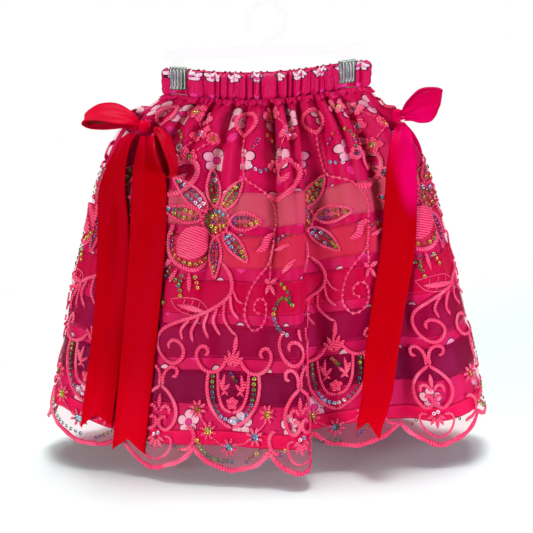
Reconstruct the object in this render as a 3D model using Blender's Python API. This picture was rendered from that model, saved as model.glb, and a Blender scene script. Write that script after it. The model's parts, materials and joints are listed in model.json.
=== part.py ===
"""A small child's ribbon skirt, hanging from a clear clip hanger.

The skirt is a gathered tube of printed cotton with six satin ribbons sewn round it, a sheer embroidered
overlay with a scalloped hem over them, a ruched elastic waistband, and a satin bow at each side seam.
Units are metres, +Z is up and the front of the skirt faces -Y. The origin is where the rail bears, inside
the top of the hanger's hook. Cloth is measured by two numbers: its place round the skirt, counted in
scallops of the hem from the wearer's right side seam, and its distance below the waistband.
"""

import math

import bmesh
import bpy
import numpy as np
from mathutils import Vector
from mathutils.bvhtree import BVHTree

# The cut: cloth round the hem, and lengths down the cloth from the waistband's lower edge
SCALLOPS = 14
FRONT_SCALLOPS = 6.6
SCALLOP_CUSP = 0.25
COTTON_LENGTH = 0.3370
OVERLAY_CUSP_LENGTH = 0.3415
SCALLOP_DROP = 0.0195

# The waist, as the clips hold it
BAND_HALF_WIDTH = 0.1005
HEM_HALF_WIDTH = 0.225
BAND_HALF_DEPTH = 0.0075
BAND_SQUARENESS = 8
BAND_HEIGHT = 0.025
BAND_TOP = -0.058
BAND_RIBS = 64
BAND_RIB_HEIGHT = 0.0010
BAND_FLATTENED = 0.25
CLIP_X = (-0.0867, 0.0796)
CLIP_GRIP_HALF_DEPTH = 0.0017
CLIP_PINCH_REACH = 0.0138
SAG = 0.0075
TILT = 0.037
SEAM_GAP = 0.0004

# The flare from waist to hem
FULL_DROP = 0.345
SIDE_FLARE = 0.545
SIDE_FLARE_SHIFT = 0.025
DEPTH_FLARE = 0.70
SHOULDER = 0.048
SHOULDER_SHIFT = 0.012
TILT_KEPT_AT_HEM = 0.0

# Distances outwards from the cotton's outer face
COTTON_INSIDE = -0.0010
RIBBON_UNDERSIDE = 0.0009
RIBBON_FACE = 0.0019
OVERLAY_INSIDE = 0.0028
OVERLAY_FACE = 0.0038
BAND_INSIDE = -0.0010

# Past this distance from the middle, no panel lies close behind the gathers
GATHERS_FREE_FROM = 0.115
BAND_FACE = 0.0030

# Rows of the panels, down the cloth. The first four have two columns for each one below
GATHER_ROWS = (0.0, 0.010, 0.028, 0.060)
BODY_ROWS = (0.088, 0.131, 0.174, 0.217, 0.260, 0.312)
COLUMNS_PER_SCALLOP = 5

# The folds at the hem: place round, where the cloth lies in plan, and how much lower than its cut it hangs
HEM_FOLDS = [
    {"round": 0.00, "x": -0.225, "y": -0.002, "hang": 0.004},
    {"round": 0.45, "x": -0.214, "y": -0.036, "hang": 0.004},
    {"round": 0.95, "x": -0.173, "y": -0.058, "hang": 0.006},
    {"round": 1.30, "x": -0.145, "y": -0.058, "hang": 0.007},
    {"round": 1.65, "x": -0.120, "y": -0.078, "hang": 0.009},
    {"round": 2.05, "x": -0.090, "y": -0.096, "hang": 0.006},
    {"round": 2.60, "x": -0.051, "y": -0.104, "hang": 0.003},
    {"round": 3.20, "x": -0.004, "y": -0.112, "hang": 0.006},
    {"round": 3.60, "x": 0.023, "y": -0.120, "hang": 0.008},
    {"round": 3.84, "x": 0.038, "y": -0.117, "hang": 0.006},
    {"round": 4.02, "x": 0.041, "y": -0.101, "hang": 0.000},
    {"round": 4.18, "x": 0.041, "y": -0.085, "hang": -0.006},
    {"round": 4.42, "x": 0.060, "y": -0.074, "hang": -0.008},
    {"round": 4.90, "x": 0.101, "y": -0.079, "hang": -0.008},
    {"round": 5.35, "x": 0.138, "y": -0.068, "hang": -0.001},
    {"round": 5.85, "x": 0.178, "y": -0.070, "hang": 0.013},
    {"round": 6.25, "x": 0.215, "y": -0.048, "hang": 0.012},
    {"round": 6.60, "x": 0.230, "y": -0.004, "hang": 0.005},
    {"round": 7.00, "x": 0.214, "y": 0.034, "hang": 0.000},
    {"round": 7.40, "x": 0.176, "y": 0.052, "hang": 0.000},
    {"round": 7.85, "x": 0.152, "y": 0.084, "hang": 0.000},
    {"round": 8.25, "x": 0.120, "y": 0.092, "hang": 0.000},
    {"round": 8.62, "x": 0.094, "y": 0.076, "hang": 0.000},
    {"round": 9.10, "x": 0.062, "y": 0.106, "hang": 0.000},
    {"round": 9.55, "x": 0.024, "y": 0.108, "hang": 0.000},
    {"round": 9.95, "x": 0.000, "y": 0.084, "hang": 0.000},
    {"round": 10.40, "x": -0.032, "y": 0.110, "hang": 0.000},
    {"round": 10.88, "x": -0.072, "y": 0.111, "hang": 0.000},
    {"round": 11.28, "x": -0.094, "y": 0.084, "hang": 0.000},
    {"round": 11.75, "x": -0.126, "y": 0.099, "hang": 0.000},
    {"round": 12.20, "x": -0.158, "y": 0.084, "hang": 0.000},
    {"round": 12.62, "x": -0.178, "y": 0.056, "hang": 0.000},
    {"round": 13.12, "x": -0.206, "y": 0.044, "hang": 0.000},
    {"round": 13.60, "x": -0.219, "y": 0.024, "hang": 0.000},
]

# How far the gathers stand in and out of the cloth, down from the waistband
GATHER_DEPTHS = [
    {"down": 0.000, "fine": 0.0013, "broad": 0.0000},
    {"down": 0.010, "fine": 0.0038, "broad": 0.0004},
    {"down": 0.028, "fine": 0.0040, "broad": 0.0018},
    {"down": 0.060, "fine": 0.0022, "broad": 0.0034},
    {"down": 0.100, "fine": 0.0006, "broad": 0.0034},
    {"down": 0.170, "fine": 0.0000, "broad": 0.0016},
    {"down": 0.260, "fine": 0.0000, "broad": 0.0000},
]

# The satin ribbons sewn round the cotton, from the top: edges down the cloth, and colour
RIBBONS = [
    {"name": "blush", "top": 0.0955, "foot": 0.1275, "colour": (0.72, 0.24, 0.26)},
    {"name": "coral", "top": 0.1360, "foot": 0.1680, "colour": (0.80, 0.10, 0.14)},
    {"name": "rose", "top": 0.1795, "foot": 0.2115, "colour": (0.70, 0.01, 0.09)},
    {"name": "crimson", "top": 0.2215, "foot": 0.2535, "colour": (0.45, 0.005, 0.06)},
    {"name": "wine", "top": 0.2650, "foot": 0.2970, "colour": (0.10, 0.003, 0.02)},
    {"name": "flame", "top": 0.3225, "foot": 0.3365, "colour": (0.85, 0.02, 0.07)},
]


# The bows: the satin's thickness, how far off the overlay a tail is first laid, the farthest that a piece
# is then slid to meet the next one, and the depth of a tail's cut end
BOW_THICKNESS = 0.0010
BOW_CLEARANCE = 0.0016
SLIDE_LIMIT = 0.0060
TAIL_NOTCH = 0.014

# Each knot, in front of its side seam
KNOTS = [
    {"name": "bow_left_knot", "x": -0.1205, "y": -0.0225, "z": -0.1160, "size": (0.0072, 0.0055, 0.0060)},
    {"name": "bow_right_knot", "x": 0.1290, "y": -0.0180, "z": -0.1070, "size": (0.0055, 0.0050, 0.0060)},
]

# The tails, from the knot down: middle, half the width that shows, and the turn of the ribbon in degrees
LEFT_OUTER_TAIL = [
    {"x": -0.1320, "z": -0.1235, "half": 0.0045, "turn": 0},
    {"x": -0.1385, "z": -0.1300, "half": 0.0065, "turn": 10},
    {"x": -0.1425, "z": -0.1390, "half": 0.0075, "turn": 20},
    {"x": -0.1485, "z": -0.1560, "half": 0.0100, "turn": 15},
    {"x": -0.1525, "z": -0.1780, "half": 0.0135, "turn": 5},
    {"x": -0.1520, "z": -0.2050, "half": 0.0155, "turn": 0},
    {"x": -0.1525, "z": -0.2450, "half": 0.0160, "turn": 0},
    {"x": -0.1570, "z": -0.3030, "half": 0.0160, "turn": 0},
    {"x": -0.1640, "z": -0.3560, "half": 0.0160, "turn": 0},
    {"x": -0.1695, "z": -0.3920, "half": 0.0160, "turn": 0},
    {"x": -0.1715, "z": -0.4090, "half": 0.0160, "turn": 0},
]
LEFT_INNER_TAIL = [
    {"x": -0.1190, "z": -0.1250, "half": 0.0055, "turn": 0},
    {"x": -0.1190, "z": -0.1350, "half": 0.0080, "turn": 0},
    {"x": -0.1190, "z": -0.1485, "half": 0.0112, "turn": -10},
    {"x": -0.1160, "z": -0.1660, "half": 0.0165, "turn": 0},
    {"x": -0.1170, "z": -0.2045, "half": 0.0178, "turn": 0},
    {"x": -0.1200, "z": -0.2450, "half": 0.0175, "turn": 0},
    {"x": -0.1265, "z": -0.3120, "half": 0.0170, "turn": 0},
    {"x": -0.1330, "z": -0.3700, "half": 0.0168, "turn": 0},
    {"x": -0.1380, "z": -0.4130, "half": 0.0165, "turn": 0},
    {"x": -0.1400, "z": -0.4305, "half": 0.0165, "turn": 0},
]
RIGHT_FRONT_TAIL = [
    {"x": 0.1330, "z": -0.1160, "half": 0.0045, "turn": 0},
    {"x": 0.1325, "z": -0.1260, "half": 0.0105, "turn": 0},
    {"x": 0.1315, "z": -0.1385, "half": 0.0130, "turn": 10},
    {"x": 0.1305, "z": -0.1590, "half": 0.0150, "turn": 5},
    {"x": 0.1295, "z": -0.1880, "half": 0.0162, "turn": 0},
    {"x": 0.1260, "z": -0.2370, "half": 0.0172, "turn": 0},
    {"x": 0.1175, "z": -0.2850, "half": 0.0172, "turn": 0},
    {"x": 0.1095, "z": -0.3330, "half": 0.0165, "turn": 12},
    {"x": 0.1035, "z": -0.3720, "half": 0.0140, "turn": 32},
    {"x": 0.0965, "z": -0.3980, "half": 0.0110, "turn": 48},
    {"x": 0.0940, "z": -0.4110, "half": 0.0100, "turn": 52},
]
RIGHT_BACK_TAIL = [
    {"x": 0.1355, "z": -0.1165, "half": 0.0040, "turn": 0},
    {"x": 0.1410, "z": -0.1270, "half": 0.0085, "turn": 0},
    {"x": 0.1455, "z": -0.1420, "half": 0.0125, "turn": 0},
    {"x": 0.1465, "z": -0.1600, "half": 0.0155, "turn": 0},
    {"x": 0.1480, "z": -0.1900, "half": 0.0170, "turn": 0},
    {"x": 0.1500, "z": -0.2400, "half": 0.0175, "turn": 0},
    {"x": 0.1520, "z": -0.2950, "half": 0.0175, "turn": 0},
    {"x": 0.1550, "z": -0.3500, "half": 0.0172, "turn": 0},
    {"x": 0.1590, "z": -0.3980, "half": 0.0170, "turn": 0},
    {"x": 0.1605, "z": -0.4160, "half": 0.0170, "turn": 0},
]

# The loops, from the knot round the tip and back: middle of the ribbon, half its width, and the way its
# front edge faces
LEFT_OUTER_LOOP = [
    {"at": (-0.1290, -0.0200, -0.1120), "half": 0.0045, "edge": (0.0, -0.87, -0.50)},
    {"at": (-0.1377, -0.0185, -0.1050), "half": 0.0130, "edge": (0.0, -0.87, -0.50)},
    {"at": (-0.1512, -0.0180, -0.1018), "half": 0.0190, "edge": (0.0, -0.86, -0.51)},
    {"at": (-0.1647, -0.0170, -0.1002), "half": 0.0190, "edge": (0.0, -0.90, -0.44)},
    {"at": (-0.1746, -0.0160, -0.1026), "half": 0.0185, "edge": (0.0, -0.95, -0.30)},
    {"at": (-0.1790, -0.0160, -0.1080), "half": 0.0180, "edge": (0.0, -0.97, -0.22)},
    {"at": (-0.1740, -0.0170, -0.1130), "half": 0.0180, "edge": (0.0, -0.97, -0.25)},
    {"at": (-0.1632, -0.0180, -0.1154), "half": 0.0185, "edge": (0.0, -0.95, -0.30)},
    {"at": (-0.1526, -0.0185, -0.1154), "half": 0.0180, "edge": (0.0, -0.93, -0.36)},
    {"at": (-0.1419, -0.0190, -0.1152), "half": 0.0120, "edge": (0.0, -0.90, -0.44)},
    {"at": (-0.1298, -0.0205, -0.1172), "half": 0.0045, "edge": (0.0, -0.90, -0.44)},
]
LEFT_INNER_LOOP = [
    {"at": (-0.1115, -0.0245, -0.1170), "half": 0.0042, "edge": (-0.20, -0.90, -0.35)},
    {"at": (-0.1048, -0.0320, -0.1224), "half": 0.0120, "edge": (-0.20, -0.92, -0.32)},
    {"at": (-0.0994, -0.0390, -0.1293), "half": 0.0170, "edge": (-0.22, -0.94, -0.26)},
    {"at": (-0.0951, -0.0440, -0.1380), "half": 0.0180, "edge": (-0.25, -0.95, -0.12)},
    {"at": (-0.0922, -0.0490, -0.1475), "half": 0.0180, "edge": (-0.25, -0.96, -0.03)},
    {"at": (-0.0918, -0.0540, -0.1554), "half": 0.0175, "edge": (-0.22, -0.97, 0.08)},
    {"at": (-0.0950, -0.0560, -0.1605), "half": 0.0170, "edge": (-0.20, -0.97, 0.10)},
    {"at": (-0.0995, -0.0525, -0.1557), "half": 0.0170, "edge": (-0.22, -0.97, 0.05)},
    {"at": (-0.1030, -0.0480, -0.1457), "half": 0.0170, "edge": (-0.25, -0.96, 0.0)},
    {"at": (-0.1072, -0.0380, -0.1355), "half": 0.0120, "edge": (-0.25, -0.95, -0.10)},
    {"at": (-0.1120, -0.0260, -0.1235), "half": 0.0042, "edge": (-0.22, -0.92, -0.25)},
]
RIGHT_FRONT_LOOP = [
    {"at": (0.1340, -0.0215, -0.1035), "half": 0.0040, "edge": (0.10, -0.30, -0.94)},
    {"at": (0.1400, -0.0235, -0.1005), "half": 0.0100, "edge": (0.05, -0.30, -0.94)},
    {"at": (0.1495, -0.0235, -0.0985), "half": 0.0145, "edge": (0.0, -0.32, -0.94)},
    {"at": (0.1616, -0.0205, -0.0965), "half": 0.0135, "edge": (0.0, -0.36, -0.93)},
    {"at": (0.1705, -0.0130, -0.0945), "half": 0.0115, "edge": (-0.22, -0.55, -0.80)},
    {"at": (0.1655, -0.0030, -0.0945), "half": 0.0130, "edge": (-0.10, -0.40, -0.91)},
    {"at": (0.1520, -0.0020, -0.0960), "half": 0.0145, "edge": (0.0, -0.30, -0.95)},
    {"at": (0.1405, -0.0065, -0.0990), "half": 0.0095, "edge": (0.0, -0.30, -0.95)},
    {"at": (0.1350, -0.0120, -0.1020), "half": 0.0040, "edge": (0.0, -0.30, -0.95)},
]
RIGHT_BACK_LOOP = [
    {"at": (0.1320, 0.0100, -0.1110), "half": 0.0040, "edge": (0.10, 0.30, -0.94)},
    {"at": (0.1255, 0.0215, -0.1140), "half": 0.0090, "edge": (0.05, 0.45, -0.88)},
    {"at": (0.1160, 0.0330, -0.1190), "half": 0.0140, "edge": (0.0, 0.50, -0.86)},
    {"at": (0.1030, 0.0430, -0.1240), "half": 0.0150, "edge": (0.0, 0.55, -0.83)},
    {"at": (0.0910, 0.0520, -0.1270), "half": 0.0140, "edge": (0.0, 0.60, -0.80)},
    {"at": (0.0880, 0.0610, -0.1260), "half": 0.0140, "edge": (0.0, 0.60, -0.80)},
    {"at": (0.0990, 0.0610, -0.1210), "half": 0.0150, "edge": (0.0, 0.55, -0.83)},
    {"at": (0.1140, 0.0530, -0.1160), "half": 0.0140, "edge": (0.0, 0.50, -0.86)},
    {"at": (0.1270, 0.0360, -0.1120), "half": 0.0090, "edge": (0.05, 0.45, -0.88)},
    {"at": (0.1375, 0.0110, -0.1090), "half": 0.0040, "edge": (0.10, 0.30, -0.94)},
]

# The steel clips: jaws that grip the waistband front and back, joined over its top
CLIP_HALF_WIDTH = 0.0083
CLIP_HEIGHT = 0.0205
CLIP_PLATE = 0.0012
CLIP_JAW = 0.0046
CLIP_ROOM_ABOVE = 0.0006
CLIP_RIB_HEIGHT = 0.0005
CLIP_RIBS = 5
CLIP_TILTS = (-0.03, 0.14)

# The clear hanger: a flat plate with a bar, an ear down to each clip and a hook
HANGER_HALF_THICKNESS = 0.0025
HANGER_BAR = {"left": -0.100, "right": 0.093, "foot": 0.0085, "top": 0.0180}
HANGER_EAR_HALF = 0.0060
HANGER_STEM_HALF = 0.0030
HOOK_INSIDE = 0.0160
HOOK_OUTSIDE = 0.0210
HOOK_END_DEGREES = 205


def column(table, name):
    """One named column of a table, as an array."""
    return np.array([row[name] for row in table], float)


def hem_folds(around):
    """The fold table made smooth and closed: x, y and hang for each place round, (n, 3)."""
    knots = column(HEM_FOLDS, "round")
    places = np.stack([column(HEM_FOLDS, name) for name in ("x", "y", "hang")], axis=1)
    knots = np.concatenate([knots[-1:] - SCALLOPS, knots, knots[:2] + SCALLOPS])
    places = np.concatenate([places[-1:], places, places[:2]])
    slopes = (places[2:] - places[:-2]) / (knots[2:] - knots[:-2])[:, None]
    around = np.asarray(around, float) % SCALLOPS
    at = np.clip(np.searchsorted(knots, around, side="right") - 1, 1, len(knots) - 3)
    span = knots[at + 1] - knots[at]
    part = ((around - knots[at]) / span)[:, None]
    span = span[:, None]
    return (
        places[at] * (1 + 2 * part) * (1 - part) ** 2
        + places[at + 1] * part**2 * (3 - 2 * part)
        + slopes[at - 1] * span * part * (1 - part) ** 2
        - slopes[at] * span * part**2 * (1 - part)
    )


def hem_plan(around):
    """Plan of the cloth at full drop, (n, 2)."""
    return hem_folds(around)[:, :2]


def waist_half_depth(x):
    """Half the depth of the flattened waist at x, pinched where the clips grip it."""
    rounded = np.sqrt(np.clip(1 - np.abs(x / BAND_HALF_WIDTH) ** BAND_SQUARENESS, 0, 1))
    gripped = BAND_HALF_DEPTH - (BAND_HALF_DEPTH - CLIP_GRIP_HALF_DEPTH) * clip_pinch(x)
    return np.minimum(BAND_HALF_DEPTH * rounded, gripped)


def waist_plan(around):
    """Plan of the cloth at the waistband, with its fullness shared evenly along the flattened loop, (n, 2)."""
    x = -BAND_HALF_WIDTH * np.cos(np.linspace(0, math.pi, 721))
    y = waist_half_depth(x)
    run = np.concatenate([[0], np.cumsum(np.hypot(np.diff(x), np.diff(y)))])
    around = np.asarray(around, float) % SCALLOPS
    front = around <= FRONT_SCALLOPS
    share = np.where(front, around / FRONT_SCALLOPS, (SCALLOPS - around) / (SCALLOPS - FRONT_SCALLOPS))
    place = np.interp(share * run[-1], run, x)
    depth = np.interp(share * run[-1], run, y)
    return np.stack([place, np.where(front, -depth, depth)], axis=1)


def band_top(x):
    """Height of the waistband's upper edge: the hanger's tilt, less the sag between the clips."""
    middle = sum(CLIP_X) / 2
    half = (CLIP_X[1] - CLIP_X[0]) / 2
    return BAND_TOP + TILT * x - SAG * np.clip(1 - ((x - middle) / half) ** 2, 0, 1)


def clip_pinch(x):
    """1 under a clip, falling to 0 away from it."""
    return sum(np.exp(-(((x - clip) / CLIP_PINCH_REACH) ** 8)) for clip in CLIP_X)


def hanging_cloth(around, down):
    """The cotton's outer face without gathers, (rows, columns, 3): each column runs from its place on the
    waist to its place at the hem, falls as it flares, and is as long as the cloth."""
    waist, hem = waist_plan(around), hem_plan(around)
    fall = np.linspace(0, 1.15, 231)[:, None] ** 2
    lean = hem[:, 0] / HEM_HALF_WIDTH
    shoulder = 1 - np.exp(-fall / (SHOULDER + SHOULDER_SHIFT * lean))
    x = waist[:, 0] + (hem[:, 0] - waist[:, 0]) * shoulder * fall ** (SIDE_FLARE + SIDE_FLARE_SHIFT * lean)
    y = waist[:, 1] + (hem[:, 1] - waist[:, 1]) * shoulder * fall**DEPTH_FLARE
    tilt = (band_top(waist[:, 0]) - BAND_TOP) * (1 - (1 - TILT_KEPT_AT_HEM) * np.clip(fall, 0, 1))
    z = BAND_TOP - BAND_HEIGHT - SEAM_GAP + tilt - FULL_DROP * fall
    path = np.stack([x, y, z], axis=2)
    step = np.linalg.norm(np.diff(path, axis=0), axis=2)
    run = np.concatenate([np.zeros((1, path.shape[1])), np.cumsum(step, axis=0)])
    down = down * (1 + hem_folds(around)[:, 2] / COTTON_LENGTH)
    return np.stack(
        [
            np.stack([np.interp(down[:, i], run[:, i], path[:, i, axis]) for axis in range(3)], axis=1)
            for i in range(path.shape[1])
        ],
        axis=1,
    )


def outward(around, down):
    """Unit vectors out of the cloth: level at the waistband, square to the cloth from 40 mm below it."""
    step = 0.01
    along = hanging_cloth(around + step, down) - hanging_cloth(around - step, down)
    below = hanging_cloth(around, down + step * 0.1) - hanging_cloth(around, down)
    square = np.cross(below, along)
    square /= np.linalg.norm(square, axis=2, keepdims=True)
    level = np.stack([along[..., 1], -along[..., 0], 0 * along[..., 0]], axis=2)
    level /= np.linalg.norm(level, axis=2, keepdims=True)
    turn = np.clip(np.broadcast_to(down, square.shape[:2]) / 0.040, 0, 1)[..., None]
    blended = level + (square - level) * turn
    return blended / np.linalg.norm(blended, axis=2, keepdims=True)


def gathers(around, down):
    """How far the gathers push the cloth out: two uneven gathers to a scallop at the top, one broad wave below."""
    fine = np.interp(down, column(GATHER_DEPTHS, "down"), column(GATHER_DEPTHS, "fine"))
    broad = np.interp(down, column(GATHER_DEPTHS, "down"), column(GATHER_DEPTHS, "broad"))
    turn = 2 * math.pi * around / SCALLOPS
    shift = 0.9 * np.sin(3 * turn + 0.7) + 0.5 * np.sin(5 * turn + 2.0)
    small = np.cos(2 * math.pi * 2 * around + shift) * (0.85 + 0.25 * np.sin(4 * turn + 1.2))
    large = np.cos(2 * math.pi * around + 1.3 * np.sin(2 * turn + 0.4) + 0.8)
    return fine * small + broad * large


def cloth(around, down, out):
    """Points of the cloth, (rows, columns, 3): around in scallops, down in metres for each row or for each
    row and column, and out from the cotton's outer face."""
    around = np.asarray(around, float)
    down = np.asarray(down, float)
    down = down[:, None] if down.ndim == 1 else down
    smooth = hanging_cloth(around, down)
    room = np.abs(smooth[..., 1]) + 2 * np.clip(np.abs(smooth[..., 0]) - GATHERS_FREE_FROM, 0, 1)
    free = np.clip((room - 0.0018) / 0.008, 0.1, 1)
    push = gathers(around[None, :], down) * free + out
    return smooth + outward(around, down) * push[..., None]


def scallop(around):
    """How far the overlay's hem reaches below its cusps: a round arch for each scallop."""
    return SCALLOP_DROP * np.sin(math.pi * ((around - SCALLOP_CUSP) % 1)) ** 0.8


def material(name, colour, roughness, metallic=0.0, alpha=1.0):
    """A plain Principled material."""
    made = bpy.data.materials.new(name)
    made.use_nodes = True
    made.diffuse_color = (*colour, alpha)
    shader = made.node_tree.nodes["Principled BSDF"]
    shader.inputs["Base Color"].default_value = (*colour, 1)
    shader.inputs["Roughness"].default_value = roughness
    shader.inputs["Metallic"].default_value = metallic
    shader.inputs["Alpha"].default_value = alpha
    return made


class Solid:
    """A closed mesh put together from rows of points."""

    def __init__(self):
        self.mesh = bmesh.new()

    def row(self, points):
        """Adds a row of points, and returns its vertices."""
        return [self.mesh.verts.new(point) for point in points]

    def face(self, *corners):
        """Adds a face whose corners run anticlockwise seen from outside."""
        self.mesh.faces.new(corners)

    def join_rows(self, upper, lower, closed):
        """Fills between two rows that run the same way round. The upper may have two columns for each one
        of the lower."""
        twice = len(upper) > len(lower) + 1
        count = len(lower) if closed else len(lower) - 1
        for i in range(count):
            right = (i + 1) % len(lower)
            if not twice:
                self.face(upper[i], lower[i], lower[right])
                self.face(upper[i], lower[right], upper[right])
                continue
            last = upper[(2 * i + 2) % len(upper)]
            middle = upper[2 * i + 1]
            self.face(upper[2 * i], lower[i], middle)
            self.face(middle, lower[i], lower[right])
            self.face(middle, lower[right], last)

    def finish(self, name, look, smooth_degrees=50):
        """Makes the object, with its faces pointing out."""
        bmesh.ops.recalc_face_normals(self.mesh, faces=self.mesh.faces)
        data = bpy.data.meshes.new(name)
        self.mesh.to_mesh(data)
        self.mesh.free()
        data.shade_smooth()
        data.set_sharp_from_angle(angle=math.radians(smooth_degrees))
        data.materials.append(look)
        made = bpy.data.objects.new(name, data)
        bpy.context.scene.collection.objects.link(made)
        return made


def wall(name, look, outer, inner, closed=False):
    """A cloth wall between two faces, each a list of rows of points from the top down."""
    solid = Solid()
    outer = [solid.row(row) for row in outer]
    inner = [solid.row(row) for row in inner]
    for face in (outer, inner):
        for upper, lower in zip(face, face[1:]):
            solid.join_rows(upper, lower, closed)
    solid.join_rows(outer[0], inner[0], closed)
    solid.join_rows(outer[-1], inner[-1], closed)
    if not closed:
        for end in (0, -1):
            for i in range(len(outer) - 1):
                solid.face(outer[i][end], outer[i + 1][end], inner[i + 1][end], inner[i][end])
    return solid.finish(name, look)


def columns(start, end, fine):
    """Places round the skirt for one panel, with the seam's gap at each end."""
    per = COLUMNS_PER_SCALLOP * (2 if fine else 1)
    count = round((end - start) * per)
    around = np.linspace(start, end, count + 1)
    gap = SEAM_GAP / 2 / 0.030 * 1.2
    around[0] += gap
    around[-1] -= gap
    return around


PANELS = {"front": (0.0, FRONT_SCALLOPS), "back": (FRONT_SCALLOPS, float(SCALLOPS))}


def skirt_panel(name, look, panel, inside, face, hem):
    """One panel of the cotton or the overlay: gathered rows with fine columns, then the body's rows, then
    the hem, whose length down the cloth is a function of the place round."""
    start, end = PANELS[panel]
    fine, coarse = columns(start, end, True), columns(start, end, False)
    faces = []
    for out in (face, inside):
        rows = list(cloth(fine, np.array(GATHER_ROWS), out))
        rows += list(cloth(coarse, np.array(BODY_ROWS), out))
        rows += list(cloth(coarse, hem(coarse)[None, :], out))
        faces.append(rows)
    return wall(name, look, *faces)


def smooth_rows(rows, steps):
    """Rows of numbers with steps - 1 new rows in each gap, on a smooth curve through the old ones."""
    rows = np.asarray(rows, float)
    padded = np.concatenate([2 * rows[:1] - rows[1:2], rows, 2 * rows[-1:] - rows[-2:-1]])
    slopes = (padded[2:] - padded[:-2]) / 2
    made = []
    for i in range(len(rows) - 1):
        for step in range(steps):
            t = step / steps
            made.append(
                rows[i] * (1 + 2 * t) * (1 - t) ** 2
                + rows[i + 1] * t**2 * (3 - 2 * t)
                + slopes[i] * t * (1 - t) ** 2
                - slopes[i + 1] * t**2 * (1 - t)
            )
    return np.array(made + [rows[-1]])


def strip(name, look, centres, sides, thick, cells, notch=0.0, ridges=None):
    """A flat band along a path, from the middle and the half-width vector of each station, both (n, 3). The
    last end may be cut to a swallowtail, and the outer face raised by a height for each line across."""
    along = np.gradient(centres, axis=0)
    along /= np.linalg.norm(along, axis=1, keepdims=True)
    normal = np.cross(along, sides)
    normal /= np.linalg.norm(normal, axis=1, keepdims=True)
    across = np.linspace(-1, 1, cells + 1)
    middle = centres[:, None] + sides[:, None] * across[:, None]
    middle[-1] -= along[-1] * notch * (1 - np.abs(across))[:, None]
    raised = thick / 2 + (0 if ridges is None else ridges)
    outer = middle + normal[:, None] * np.broadcast_to(raised, across.shape)[:, None]
    inner = middle - normal[:, None] * thick / 2
    return wall(name, look, list(outer), list(inner))


def dense(grid, times):
    """A grid of points, (rows, columns, 3), with times - 1 straight steps between its rows and columns."""
    for axis in (0, 1):
        count = grid.shape[axis]
        at = np.arange((count - 1) * times + 1) / times
        low = np.minimum(at.astype(int), count - 2)
        part = (at - low).reshape([-1, 1, 1] if axis == 0 else [1, -1, 1])
        grid = np.take(grid, low, axis) * (1 - part) + np.take(grid, low + 1, axis) * part
    return grid.reshape(-1, 3)


def overlay_points():
    """The overlay's outer face as built, filled with points 3 mm apart or less."""
    fine = np.linspace(0, SCALLOPS, 2 * COLUMNS_PER_SCALLOP * SCALLOPS + 1)
    coarse = fine[::2]
    upper = cloth(fine, np.array(GATHER_ROWS), OVERLAY_FACE)
    lower = cloth(coarse, np.array(GATHER_ROWS[-1:] + BODY_ROWS), OVERLAY_FACE)
    hem = cloth(coarse, (OVERLAY_CUSP_LENGTH + scallop(coarse))[None, :], OVERLAY_FACE)
    return np.concatenate([dense(upper, 8), dense(np.concatenate([lower, hem]), 16)])


def lay_tail(table, skirt, side):
    """Stations of a tail laid on the skirt, on its front (side -1) or its back (side 1): each spans the
    cloth under it, and bridges the hollows between folds as hanging ribbon does."""
    rows = smooth_rows([[row["x"], row["z"], row["half"], row["turn"]] for row in table], 2)
    across = np.linspace(-1, 1, 9)
    lift, slope = np.full(len(rows), np.nan), np.zeros(len(rows))
    for i, (x, z, half, _) in enumerate(rows):
        places = across * half
        reach = []
        for place in places:
            near = np.hypot(skirt[:, 0] - x - place, skirt[:, 2] - z) < 0.0035
            reach.append((side * skirt[near, 1]).max() if near.any() else np.nan)
        reach = np.array(reach)
        found = ~np.isnan(reach)
        if found.sum() > 4:
            slope[i] = 0.6 * np.polyfit(places[found], reach[found], 1)[0]
        if found.any():
            lift[i] = (reach - slope[i] * places)[found].max()
    known = ~np.isnan(lift)
    lift = np.interp(np.arange(len(rows)), np.flatnonzero(known), lift[known])
    slope = np.convolve(np.pad(slope, 1, mode="edge"), np.ones(3) / 3, mode="valid")
    for _ in range(6):
        lift[1:-1] = np.maximum(lift[1:-1], (lift[:-2] + lift[2:]) / 2)
    turn = np.radians(rows[:, 3])
    lift += BOW_CLEARANCE + BOW_THICKNESS / 2 + rows[:, 2] * np.abs(np.tan(turn))
    centres = np.stack([rows[:, 0], side * lift, rows[:, 1]], axis=1)
    sides = rows[:, 2:3] * np.stack([np.ones(len(rows)), side * (slope + np.tan(turn)), 0 * lift], axis=1)
    return centres, sides


def surface(solid):
    """A solid's search tree of faces, and points on its corners and along its edges, (n, 3)."""
    corners = np.array([corner.co for corner in solid.data.vertices])
    ends = np.array([edge.vertices for edge in solid.data.edges])
    parts = np.array([0.25, 0.5, 0.75])[:, None, None]
    along = (corners[ends[:, 0]] * (1 - parts) + corners[ends[:, 1]] * parts).reshape(-1, 3)
    tree = BVHTree.FromPolygons(corners.tolist(), [tuple(face.vertices) for face in solid.data.polygons])
    return tree, np.concatenate([corners, along])


def distance(tree, points):
    """The least distance from points to a tree of faces, at most 20 mm."""
    found = [tree.find_nearest(point, 0.02)[3] for point in points]
    return min([near for near in found if near is not None], default=0.02)


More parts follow.
